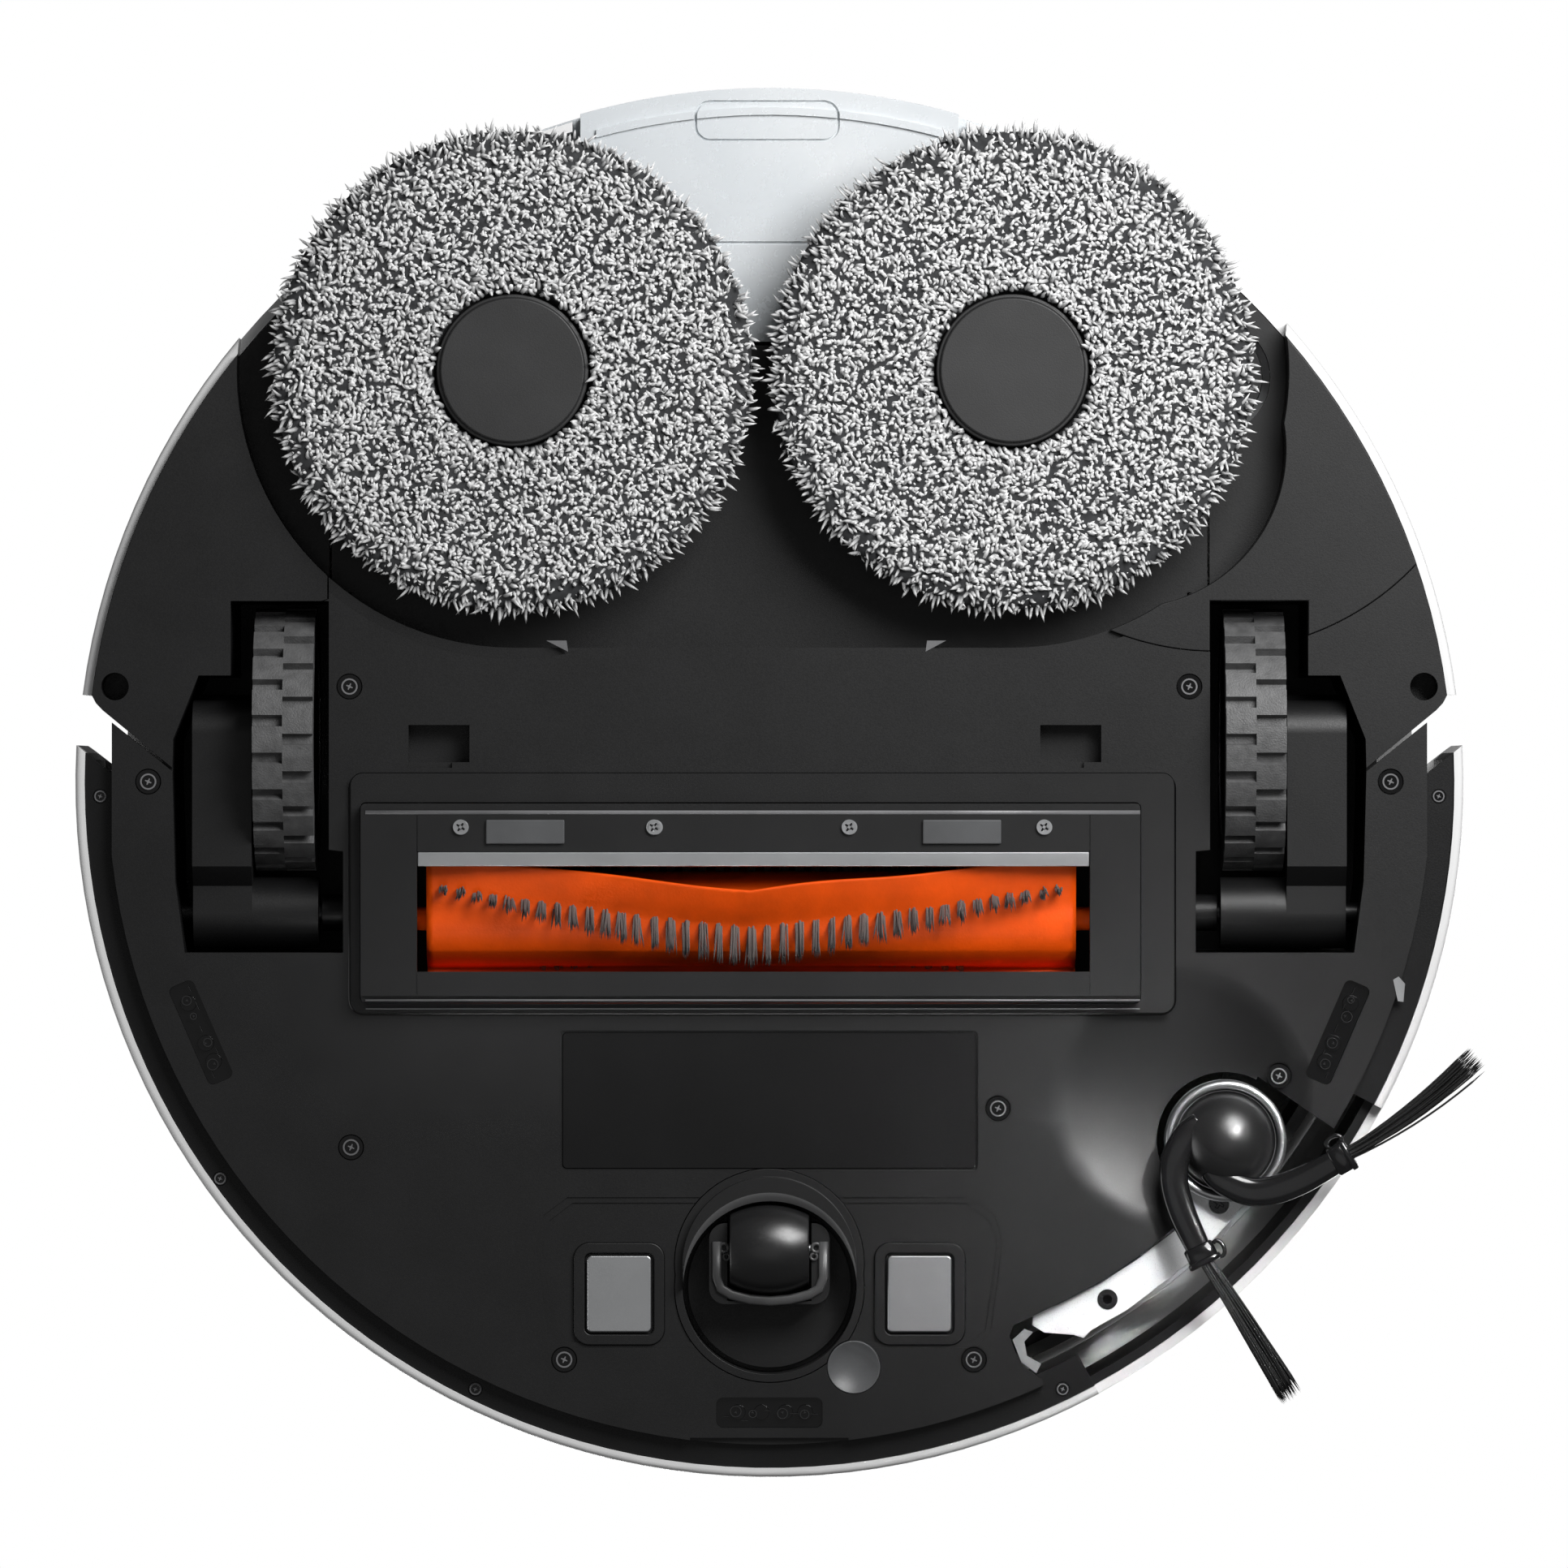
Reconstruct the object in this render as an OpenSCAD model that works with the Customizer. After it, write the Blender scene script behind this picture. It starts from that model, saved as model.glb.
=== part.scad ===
// Robotic floor cleaner: vacuum and twin spinning mops in one round body.
// Millimetres. +X is the machine's right, +Y its front, +Z up. The floor is z = 0 and the
// round body stands on the Z axis.

/* [Body] */
// Radius of the rear side wall
body_r = 175; // [168:0.5:182]
// Radius of the bumper's outer skin
bumper_r = 175.4; // [168:0.1:183]
// Thickness of the side wall and of the bumper's skin
wall_t = 2.4; // [1.5:0.1:4]
// Height of the underside above the floor
base_z = 11; // [9:0.5:13]
// Thickness of the underside's skin
skin = 3; // [2:0.25:4]
// Radius of the front base's edge, inside the bumper
base_r = 167; // [160:0.5:170]
// Radius of the rear base's edge, inside the side wall
rear_r = 172.4; // [166:0.2:174]
// Height of the shoulder's top, under the deck
shoulder_z = 77.5; // [70:0.5:80]
// Radius of the shoulder's rounding
shoulder_r = 9.5; // [5:0.5:14]
// Height of the deck's top face
deck_z = 85; // [80:0.5:92]
// Radius of the deck
deck_r = 166; // [160:0.5:168]
// Height of the laser turret's top
turret_z = 104; // [96:0.5:112]
// Radius of the laser turret
turret_r = 41; // [34:0.5:46]

/* [Wheels] */
// Distance of each drive wheel's middle from the body's middle
wheel_x = 122.6; // [118:0.1:126]
// Forward position of the drive wheels' axis
wheel_y = -11; // [-14:0.5:-8]
// Radius of a drive wheel over its lugs
wheel_r = 33.5; // [30:0.5:36]
// Width of a drive wheel
wheel_w = 15.2; // [12:0.2:18]
// Lugs in each of the tyre's two rows
lugs = 22; // [16:1:30]
// Height of the suspension's pivot
pivot_z = 27; // [24:0.5:30]
// Forward position of the suspension's pivot
pivot_y = 32.8; // [30:0.2:35]
// Radius of the caster's wheel
caster_wheel_r = 11.5; // [9:0.25:13]
// Distance of the caster's axle behind its swivel axis
caster_trail = 9.7; // [7:0.1:12]

/* [Main brush] */
// Radius of the main brush over its tufts
brush_r = 20.8; // [16:0.1:21]
// Height of the main brush's axis
brush_z = 23.6; // [20:0.1:24]
// Radius of the main brush's core
core_r = 12; // [8:0.25:13]
// Tufts in each row of the main brush
tufts = 39; // [21:2:49]
// Lowest face of the brush guard
guard_z = 5; // [4:0.25:8]
// Thickness of the guard's bars
guard_t = 2.2; // [1.5:0.1:3]

/* [Mops] */
// Radius of a mop pad
pad_r = 62.4; // [55:0.1:62.8]
// Thickness of a mop pad
pad_h = 9; // [6:0.5:11]
// Thickness of a mop's carrier plate
plate_h = 4.6; // [3:0.2:5]
// Radius of the cap in a pad's middle
mop_cap_r = 19.2; // [15:0.2:24]
// Height of the ceiling over the mops
ceiling_z = 26; // [25:0.5:30]
// Radius of the recess around a mop
recess_r = 69.8; // [66:0.2:72]
// Largest outward swing of the right mop's arm
arm_swing = 25; // [10:1:25]

/* [Side brush] */
// Radius of the side brush's domed hub
hub_r = 12.6; // [9:0.2:13]
// Radius of the bright ring around the hub
ring_r = 15.4; // [13:0.2:16]
// Reach of the side brush's bristles from its axis
bristle_reach = 65; // [50:1:66]
// Radius of the hollow pressed into the underside around the side brush
bowl_r = 33.8; // [28:0.2:36]
// Depth of that hollow
bowl_depth = 5.5; // [3:0.25:7]

/* [Detail] */
// Facets of the large round pieces
round_fn = 120; // [60:12:240]
// Facets of the small round pieces
small_fn = 32; // [24:4:64]
// Radius of a base screw's counterbore
bore_r = 3.3; // [2.6:0.1:4]
// Running clearance on a radius
run = 0.05; // [0.02:0.01:0.1]

/* [Hidden] */
eps = 0.01;
skin_top = base_z + skin;
frame_r = 160;
frame_t = 3;
left_mop = [-64.7, -104];
right_mop = [61.2, -104];
arm_axis = [112.5, -102.9];
cover_r = 69.6;
recess_front = -34.2;
corner_recess = [90.4, -84.3];
corner_recess_r = 39.9;
swept_r = 65;
blade_twist = 28;
tuft_lean = 53;
seam = 0.15;
brush_y = 34.3;
brush_x0 = -86.6;
brush_x1 = 77.4;
bay = [-105.6, -2.5, 102.1, 57.9];
guard = [-103, 5.1, 93.5, 55.3];
window = [-88.8, 17.2, 80.7, 47.5];
hub_pos = [115.2, 90.3];
hub_lift = 0.8;
hub_z = hub_r + hub_lift;
lever_pos = [85.4, 130.4];
bowl_pos = [103.8, 79.8];
caster_pos = [0, 127.3];
caster_r = 21.9;
collar_y = 121.2;
turret_y = -62;
tank_r = 176.4;
charcoal = [0.13, 0.13, 0.14];
dark = [0.07, 0.07, 0.075];
grey = [0.36, 0.37, 0.38];
white = [0.9, 0.9, 0.9];
steel = [0.72, 0.73, 0.74];
orange = [0.93, 0.27, 0.02];

// ---------------------------------------------------------------- helpers

module slab(z0, z1) {
    translate([0, 0, z0])
        linear_extrude(z1 - z0)
            children();
}

module rounded(box, r) {
    translate([box[0] + r, box[1]])
        square([box[2] - box[0] - 2 * r, box[3] - box[1]]);
    translate([box[0], box[1] + r])
        square([box[2] - box[0], box[3] - box[1] - 2 * r]);
    for (x = [box[0] + r, box[2] - r], y = [box[1] + r, box[3] - r])
        translate([x, y])
            circle(r, $fn = small_fn);
}

module block(box, z0, z1) {
    translate([box[0], box[1], z0])
        cube([box[2] - box[0], box[3] - box[1], z1 - z0]);
}

// A cylinder on an axis along X, from x0 to x1.
module rod(x0, x1, y, z, r, fn = small_fn) {
    translate([x0, y, z])
        rotate([0, 90, 0])
            cylinder(x1 - x0, r = r, $fn = fn);
}

module post(p, r, z0, z1, fn = small_fn) {
    translate([p[0], p[1], z0])
        cylinder(z1 - z0, r = r, $fn = fn);
}

module both_sides() {
    children();
    mirror([1, 0, 0])
        children();
}

// A straight link of even width with round ends.
module link(p, q, r) {
    d = q - p;
    translate(p)
        circle(r, $fn = small_fn);
    translate(q)
        circle(r, $fn = small_fn);
    translate(p)
        rotate(atan2(d[1], d[0]))
            translate([0, -r])
                square([norm(d), 2 * r]);
}

// Points on an arc from angle a0 to angle a1.
function arc(c, r, a0, a1, n) =
    [for (i = [0:n]) c + r * [cos(a0 + (a1 - a0) * i / n), sin(a0 + (a1 - a0) * i / n)]];

function turned(p, about, a) =
    about + [
        (p - about)[0] * cos(a) - (p - about)[1] * sin(a),
        (p - about)[0] * sin(a) + (p - about)[1] * cos(a)
    ];

// A screw seen from below: pan head with a cross recess, and its shank.
module screw(p, head_r, z, head_h, shank_r, shank_h) {
    difference() {
        union() {
            post(p, head_r, z, z + head_h);
            post(p, shank_r, z + head_h - eps, z + head_h + shank_h);
        }
        for (a = [0, 90])
            translate([p[0], p[1], z])
                rotate(a + 30)
                    cube([head_r * 1.1, head_r * 0.28, head_h], center = true);
    }
}

// ---------------------------------------------------------------- outlines

// The well a drive wheel stands in, left side.
module well_2d() {
    polygon([
        [-136, -46], [-111.2, -46], [-111.2, 16.8], [-107.6, 17.2], [-107.6, 42.8],
        [-147.6, 42.8], [-150, 24.8], [-150.7, -3.1], [-150.5, -11.1], [-144.1, -27.2],
        [-136, -27.2]
    ]);
}

// The space the two mops turn, rise and swing in.
module recess_2d() {
    translate(left_mop)
        circle(recess_r, $fn = round_fn);
    translate(right_mop)
        circle(recess_r, $fn = round_fn);
    translate([left_mop[0], left_mop[1]])
        square([right_mop[0] - left_mop[0], recess_front - left_mop[1]]);
    translate(corner_recess)
        circle(corner_recess_r, $fn = round_fn);
    translate([-60, -190])
        square([120, 90]);
    translate(turned(right_mop, arm_axis, arm_swing))
        circle(swept_r, $fn = round_fn);
}

// What lies in front of the seam between the front and the rear base.
module front_side_2d() {
    polygon([
        [-180, -26.5], [-150.7, -3], [-140, -12], [-122, -42], [-111.2, -46.5],
        [-111.2, -80], [111.2, -80], [111.2, -46.5], [122, -42], [140, -12],
        [150.7, -3], [180, -26.5], [180, 180], [-180, 180]
    ]);
}

// What lies behind that seam. Its outer corners are rounded off.
module rear_side_2d() {
    polygon([
        [-180, -22.5], [-171.2, -22.5], [-170, -20.2], [-168.3, -18.4], [-150.7, -3.9],
        [-140, -13], [-122, -43], [-111.6, -46.5], [-111.6, -80], [111.6, -80],
        [111.6, -46.5], [122, -43], [140, -13], [150.7, -3.9], [168.3, -18.4],
        [170, -20.2], [171.2, -22.5], [180, -22.5], [180, -190], [-180, -190]
    ]);
}

// The opening the side brush's lever lies in. It is open towards the bumper.
module lever_opening_2d() {
    translate(hub_pos)
        circle(17.3, $fn = 72);
    polygon([
        [123.4, 74.1], [143.7, 88], [180, 113], [180, 180], [80, 180], [71, 157],
        [68.8, 150.4], [64.3, 147.4], [62.2, 144], [60.6, 139.6], [61.6, 136.8],
        [65.8, 134.9], [74.4, 130.6], [84.3, 125.4], [94.4, 118.6], [103.3, 111.2],
        [99.4, 97.5], [115, 90]
    ]);
}

// The space over the skin that the lever's tail turns through.
module tail_space_2d() {
    polygon([
        [58, 126], [70, 120], [88, 117], [99.5, 108], [99.5, 104], [107, 104], [107, 140],
        [62, 152], [58, 146]
    ]);
}

module cliff_slot_2d() {
    translate([-143.5, 62.9])
        rotate(66.5)
            rounded([-13.4, -3.4, 13.4, 3.4], 1.6);
}

// The shallow field round the charging contacts, drawn in by inset.
module contact_field_2d(inset) {
    polygon([
        [-51 + inset, 104.5 + inset], [51 - inset, 104.5 + inset], [57 - inset, 109 + inset],
        [59 - inset, 116], [56 - inset, 138], [52 - inset, 142.5 - inset],
        [-52 + inset, 142.5 - inset], [-56 + inset, 138], [-59 + inset, 116],
        [-57 + inset, 109 + inset]
    ]);
}

module front_cliff_slot_2d() {
    rounded([-13.4, 155, 13.4, 162.7], 1.8);
}

// Each base screw: position, height of its head's face, length of its shank.
base_screw_pos = [
    [-106, -24.4, 11.7, 0.9], [106, -24.4, 11.7, 0.9], [-156.8, -0.4, 11.7, 6],
    [156.8, -0.4, 11.7, 6], [-105.6, 91.9, 11.7, 6], [57.7, 82.1, 11.7, 6],
    [-51.8, 145.5, 11.7, 6], [51.6, 145.5, 11.7, 6], [128.6, 73.9, 13.9, 2.4]
];

bumper_screw_pos = [[-169.1, 3.3], [169.1, 3.3], [-138.8, 99.9], [-74.3, 153.1], [74.1, 153.1]];

// The body's outer form, turned about Z: upright side, rounded shoulder, eased lower edge.
module body_form(r, z0, z1, sr) {
    rotate_extrude($fn = round_fn)
        polygon(concat(
            [[0, z0]], arc([r - 1.5, z0 + 1.5], 1.5, -90, 0, 4),
            arc([r - sr, z1 - sr], sr, 0, 90, 10), [[0, z1]]
        ));
}

// ---------------------------------------------------------------- body

module base_front() {
    color(charcoal)
        difference() {
            union() {
                slab(base_z, skin_top)
                    intersection() {
                        circle(base_r, $fn = round_fn);
                        translate([-166, -100])
                            square([332, 280]);
                        front_side_2d();
                    }
                slab(skin_top - eps, 78.2)
                    intersection() {
                        difference() {
                            circle(frame_r, $fn = round_fn);
                            circle(frame_r - frame_t, $fn = round_fn);
                        }
                        translate([-170, 2])
                            square([340, 170]);
                    }
                post(bowl_pos, bowl_r + 2, skin_top - eps, skin_top + bowl_depth - 1, 72);
                for (x = [-83.4, 76.05])
                    block([x - 10, -17, x + 10, -3], skin_top - eps, 20);
                for (x = [-74, -32])
                    block([x, 66, x + 3, 120], skin_top - eps, 29);
                block([46, 97, 56, 110], skin_top - eps, 34);
            }
            slab(base_z - 1, skin_top + 1)
                recess_2d();
            slab(base_z - 1, skin_top + 1)
                translate(arm_axis)
                    circle(cover_r + seam, $fn = round_fn);
            both_sides()
                slab(base_z - 1, skin_top + 1)
                    well_2d();
            slab(base_z - 1, 24)
                rounded([bay[0] - 0.2, bay[1] - 0.2, bay[2] + 0.2, bay[3] + 0.2], 3.2);
            post(caster_pos, caster_r + 2.2, base_z - 1, skin_top + 1, 72);
            post([0, collar_y], caster_r + 2.2, base_z - 1, skin_top + 1, 72);
            slab(base_z - 1, 24)
                lever_opening_2d();
            slab(skin_top, 24)
                tail_space_2d();
            translate([bowl_pos[0], bowl_pos[1], base_z + bowl_depth])
                translate([0, 0, -(bowl_r * bowl_r / bowl_depth + bowl_depth) / 2])
                    sphere((bowl_r * bowl_r / bowl_depth + bowl_depth) / 2, $fn = round_fn);
            both_sides()
                slab(base_z - 1, skin_top + 1)
                    cliff_slot_2d();
            slab(base_z - 1, skin_top + 1)
                front_cliff_slot_2d();
            both_sides()
                slab(base_z - 1, skin_top + 1)
                    rounded([26.4, 115.9, 49.5, 141.9], 4);
            post([21.3, 147.4], 6.8, base_z - 1, skin_top + 1, 48);
            slab(base_z - 1, base_z + 0.8)
                rounded([-52.8, 62.4, 52.6, 97.8], 1);
            for (step = [[0, 0.35], [1.4, 0.7]])
                slab(base_z - 1, base_z + step[1])
                    contact_field_2d(step[0]);
            for (p = base_screw_pos) {
                post(p, bore_r, base_z - 1, p[2] + 1.3);
                post(p, 1.5, base_z - 1, p[2] + 7.4);
            }
            for (x = [-83.4, 76.05]) {
                block([x - 7.7, -14.7, x + 7.7, -5.3], base_z - 1, 18);
                block([x - 7.7, -14.7, x + 3.3, -3.9], base_z - 1, base_z + 1.4);
            }
            block([90, 40, 116, 45.4], skin_top, 24);
            block([-20, 165.2, 20, 170], base_z - 1, base_z + 1.4);
            for (s = [-1, 1])
                slab(base_z - 1, base_z + 1.6)
                    intersection() {
                        translate(s < 0 ? left_mop : right_mop)
                            circle(recess_r + 2.8, $fn = round_fn);
                        polygon([
                            [s * 38, -36], [s * 43, -31.2], [s * 43, -20], [s * 111, -20],
                            [s * 111, -110], [s * 38, -110]
                        ]);
                    }
        }
}

module base_rear() {
    color(charcoal)
        difference() {
            union() {
                slab(base_z, ceiling_z + skin)
                    intersection() {
                        circle(rear_r, $fn = round_fn);
                        rear_side_2d();
                    }
                slab(ceiling_z - 1, ceiling_z + skin)
                    translate([-111, -81])
                        square([222, 81 + recess_front]);
                block([left_mop[0], recess_front + 0.3, right_mop[0], recess_front + 2.3], skin_top, 29);
                for (p = [left_mop, right_mop])
                    slab(skin_top, ceiling_z + skin)
                        intersection() {
                            difference() {
                                translate(p)
                                    circle(recess_r + 2.3, $fn = round_fn);
                                translate(p)
                                    circle(recess_r + 0.3, $fn = round_fn);
                            }
                            translate([-111, -81])
                                square([222, 60]);
                        }
            }
            slab(base_z - 1, ceiling_z)
                recess_2d();
            slab(base_z - 1, skin_top + 0.2)
                translate(arm_axis)
                    circle(cover_r + seam, $fn = round_fn);
            both_sides() {
                slab(base_z - 1, 70)
                    well_2d();
                block([-153.6, -48.4, -105.9, 0], skin_top - 0.1, 70);
            }
            block([-50, -190, 50, -111], ceiling_z - 1, 70);
            block([-90, -190, 90, -139], ceiling_z - 1, 70);
            block([45, -190, 58.5, -118], ceiling_z - 1, 70);
            post(left_mop, 15, ceiling_z - 1, ceiling_z + 5, 48);
            slab(ceiling_z - 1, 45)
                arm_sweep_2d();
            for (s = [-1, 1])
                post([s * 165.2, -24.4], 3.5, base_z - 1, 24);
        }
}

// The ground the right mop's arm covers over its whole swing.
module arm_sweep_2d() {
    translate(arm_axis)
        circle(14.5, $fn = 48);
    polygon([
        arm_axis + [0, 13], for (a = [164:4:224]) arm_axis + 66 * [cos(a), sin(a)],
        arm_axis + [8, -10]
    ]);
}

module right_arm_cover() {
    color(charcoal)
        difference() {
            slab(base_z, skin_top)
                intersection() {
                    translate(arm_axis)
                        circle(cover_r, $fn = round_fn);
                    circle(rear_r, $fn = round_fn);
                }
            slab(base_z - 1, ceiling_z + 1)
                recess_2d();
            mirror([1, 0, 0])
                slab(base_z - 1, 70)
                    well_2d();
        }
}

module rear_shell() {
    color(white)
        difference() {
            body_form(body_r, 13.5, shoulder_z, shoulder_r);
            body_form(body_r - wall_t, 12, shoulder_z - wall_t, shoulder_r - wall_t);
            cylinder(100, r = frame_r + 5, $fn = round_fn);
            slab(0, 100)
                polygon([
                    [-190, -22.3], [-171.3, -22.3], [-168.3, -18.1], [-150, -3], [150, -3],
                    [168.3, -18.1], [171.3, -22.3], [190, -22.3], [190, 190], [-190, 190]
                ]);
            slab(0, ceiling_z)
                recess_2d();
            slab(0, 100)
                translate([-50, -190])
                    square([100, 80]);
            slab(42, 100)
                translate([-90, -190])
                    square([180, 80]);
        }
}

module deck() {
    color(white)
        difference() {
            rotate_extrude($fn = round_fn) {
                translate([0, 78.2])
                    square([deck_r - 3, deck_z - 78.2]);
                translate([0, 78.2])
                    square([deck_r, deck_z - 78.2 - 3]);
                translate([deck_r - 3, deck_z - 3])
                    circle(3, $fn = small_fn);
            }
            slab(78, deck_z - 3)
                intersection() {
                    circle(frame_r - 4, $fn = round_fn);
                    translate([-170, 5])
                        square([340, 170]);
                }
            slab(deck_z - 2.6, deck_z + 1)
                lid_2d(0.4);
            slab(78, deck_z + 1)
                lid_2d(-8);
            post([0, turret_y], turret_r + 0.2, deck_z - 4, deck_z + 1, 96);
            post([0, turret_y], 30, 70, deck_z + 1, 72);
            for (x = [-13, 13])
                post([x, -10], 5.6, 78, deck_z + 1);
        }
}

// The lid's outline, grown by gap.
module lid_2d(gap) {
    intersection() {
        circle(150 + gap, $fn = round_fn);
        translate([-150 - gap, 4 - gap])
            square([300 + 2 * gap, 160]);
    }
}

module top_lid() {
    color(white)
        difference() {
            union() {
                slab(deck_z - 2.6, deck_z)
                    lid_2d(0);
                slab(deck_z - 5, deck_z - 2.6)
                    difference() {
                        lid_2d(-9);
                        lid_2d(-11);
                    }
            }
            translate([0, 140, deck_z + 17])
                sphere(20, $fn = 64);
        }
}

module button(x) {
    color(grey)
        difference() {
            union() {
                post([x, -10], 5.4, deck_z - 5, deck_z + 0.8);
                post([x, -10], 7, deck_z - 9.5, deck_z - 7);
                post([x, -10], 3, deck_z - 7 - eps, deck_z - 5 + eps);
            }
            translate([x, -10, deck_z + 20.4])
                sphere(20, $fn = 64);
        }
}

module power_button() {
    button(-13);
}

module home_button() {
    button(13);
}

module turret_base() {
    color(dark)
        difference() {
            union() {
                post([0, turret_y], turret_r, deck_z - 4, deck_z + 4, 96);
                for (a = [18:72:306])
                    translate([0, turret_y, deck_z + 4 - eps])
                        rotate(a)
                            translate([turret_r - 4, -3, 0])
                                cube([3.2, 6, turret_z - deck_z - 8]);
            }
            post([0, turret_y], 29, deck_z - 5, deck_z + 5, 72);
        }
}

module turret_cap() {
    color(white)
        difference() {
            translate([0, turret_y, turret_z - 4])
                rotate_extrude($fn = 96) {
                    square([turret_r - 2, 4]);
                    square([turret_r, 2]);
                    translate([turret_r - 2, 2])
                        circle(2, $fn = small_fn);
                }
            translate([0, turret_y, turret_z + 98.6])
                sphere(100, $fn = 96);
        }
}

module laser_rotor() {
    color(dark)
        difference() {
            union() {
                post([0, turret_y], 27, deck_z + 1, deck_z + 14, 72);
                post([0, turret_y], 10, deck_z - 6, deck_z + 1 + eps, 48);
            }
            for (x = [-10, 10])
                translate([x, turret_y + 18, deck_z + 8])
                    rotate([-90, 0, 0])
                        cylinder(20, r = 4.5, $fn = small_fn);
        }
}

// ---------------------------------------------------------------- tank

module tank_form(inset, z_low) {
    intersection() {
        body_form(tank_r - inset, 20, shoulder_z - inset, shoulder_r - inset);
        union() {
            block([-48 + inset, -190, 48 - inset, -112 - inset], z_low + inset, 90);
            block([-88 + inset, -190, 88 - inset, -141 - inset], 43 + inset, 90);
        }
    }
}

module rear_tank() {
    color([0.78, 0.82, 0.86, 0.8])
        difference() {
            union() {
                tank_form(0, 27);
                slab(26.2, 27 + eps)
                    intersection() {
                        difference() {
                            circle(171.5, $fn = round_fn);
                            circle(169.5, $fn = round_fn);
                        }
                        translate([-44, -190])
                            square([88, 60]);
                    }
            }
            tank_form(2.2, 27);
            post([0, -150], 7, 70, 90);
            slab(26, 27.8)
                difference() {
                    rounded([-19, -173.2, 17.8, -162.8], 4);
                    rounded([-18.4, -172.6, 17.2, -163.4], 3.4);
                }
            block([-48, -137.4, 48, -136.6], 26, 27.7);
        }
}

// ---------------------------------------------------------------- bumper

// The half-plane pair that ends the bumper with slanted faces.
module bumper_span_2d() {
    polygon([
        [-190, -21.6], [-173, -7.9], [-150, 10.6], [-150, 30], [150, 30], [150, 10.6],
        [173, -7.9], [190, -21.6], [190, 190], [-190, 190]
    ]);
}

// The sector over the side brush's lever, where the bumper's lower edge is raised.
module lever_sector_2d() {
    polygon([[0, 0], [190, 101], [190, 190], [108, 200]]);
}

module bumper_skin() {
    color(white)
        difference() {
            intersection() {
                difference() {
                    body_form(bumper_r, 13.5, shoulder_z, shoulder_r);
                    body_form(bumper_r - wall_t, 12, shoulder_z - wall_t, shoulder_r - wall_t);
                }
                slab(0, 100)
                    bumper_span_2d();
            }
            cylinder(100, r = 165, $fn = round_fn);
            slab(0, 18.2)
                lever_sector_2d();
            slab(34, 58)
                polygon([[0, 0], [-95, 190], [95, 190]]);
        }
}

module bumper_carrier() {
    color(dark)
        difference() {
            intersection() {
                rotate_extrude($fn = round_fn) {
                    translate([164, skin_top + 0.3])
                        square([8.9, 3.2]);
                    translate([170.6, skin_top + 0.3])
                        square([2.3, 52]);
                }
                slab(0, 100)
                    bumper_span_2d();
            }
            slab(0, 18.2)
                lever_sector_2d();
            for (p = bumper_screw_pos) {
                post(p, 1.85, base_z, skin_top + 1.6);
                post(p, 1.15, base_z, 22);
            }
        }
}

module bumper_screws() {
    color(steel)
        for (p = bumper_screw_pos)
            screw(p, 1.65, skin_top + 0.6, 1, 1.1, 4);
}

module bumper_window() {
    color([0.03, 0.03, 0.035])
        slab(34.3, 57.7)
            intersection() {
                difference() {
                    circle(bumper_r - 0.4, $fn = round_fn);
                    circle(bumper_r - wall_t + 0.1, $fn = round_fn);
                }
                polygon([[0, 0], [-94.2, 190], [94.2, 190]]);
            }
}

// ---------------------------------------------------------------- drive wheels

module well_liners() {
    color(dark)
        both_sides()
            difference() {
                block([-153.4, -48.2, -106.1, 45.2], skin_top, 72);
                slab(0, 70)
                    well_2d();
                slab(0, 100)
                    polygon([
                        [-160, -60], [-138.2, -60], [-138.2, -29.6], [-146, -29.6],
                        [-153.4, -12], [-160, -12]
                    ]);
                slab(0, 100)
                    polygon([[-160, 30], [-153.4, 30], [-149.6, 46], [-160, 46]]);
                slab(0, ceiling_z + skin + 1)
                    recess_2d();
            }
    color(dark)
        both_sides() {
            rod(-150, -107, pivot_y, pivot_z, 2.5);
            rod(-113.4, -107, pivot_y, pivot_z, 4.6);
        }
}

// Side view of the gearbox, Y against Z.
module gearbox_2d() {
    translate([wheel_y, wheel_r])
        circle(11.5, $fn = 48);
    translate([pivot_y, pivot_z])
        circle(9, $fn = 48);
    translate([-12.5, 21.5])
        circle(8.5, $fn = 48);
    polygon([
        [-12.5, 13], [21, 13], [26, 18], [pivot_y, 18], [pivot_y + 1, 36], [10, 44],
        [wheel_y, 45], [-21, 34], [-21, 21.5]
    ]);
}

module gearbox() {
    color(charcoal)
        difference() {
            union() {
                translate([-145.8, 0, 0])
                    rotate([90, 0, 90])
                        linear_extrude(15)
                            gearbox_2d();
                rod(-144.6, -114.2, pivot_y, pivot_z, 9, 48);
                rod(-131, -116.4, wheel_y, wheel_r, 3);
            }
            rod(-150, -110, pivot_y, pivot_z, 2.5 + run);
            translate([-147, 0, 0])
                rotate([90, 0, 90])
                    linear_extrude(2.2)
                        translate([wheel_y, wheel_r])
                            circle(7, $fn = 48);
        }
}

module wheel_hub() {
    color(dark)
        difference() {
            rod(-wheel_x - wheel_w / 2 + 0.4, -wheel_x + wheel_w / 2 - 0.4, wheel_y, wheel_r, 24.5, 72);
            rod(-140, -110, wheel_y, wheel_r, 3 + run);
            for (a = [0:60:300])
                translate([-wheel_x, wheel_y, wheel_r])
                    rotate([a, 0, 0])
                        translate([0, 0, 14])
                            rotate([0, 90, 0])
                                cylinder(20, r = 4.6, center = true, $fn = small_fn);
        }
}

// One row of the tread, seen along the axle.
module tread_2d(turn) {
    circle(wheel_r - 2.4, $fn = 96);
    for (i = [0:lugs - 1])
        rotate(i * 360 / lugs + turn)
            polygon([
                [wheel_r - 4, -3.5], [wheel_r - 0.3, -3.3], [wheel_r, 0],
                [wheel_r - 0.3, 3.3], [wheel_r - 4, 3.5]
            ]);
}

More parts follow.
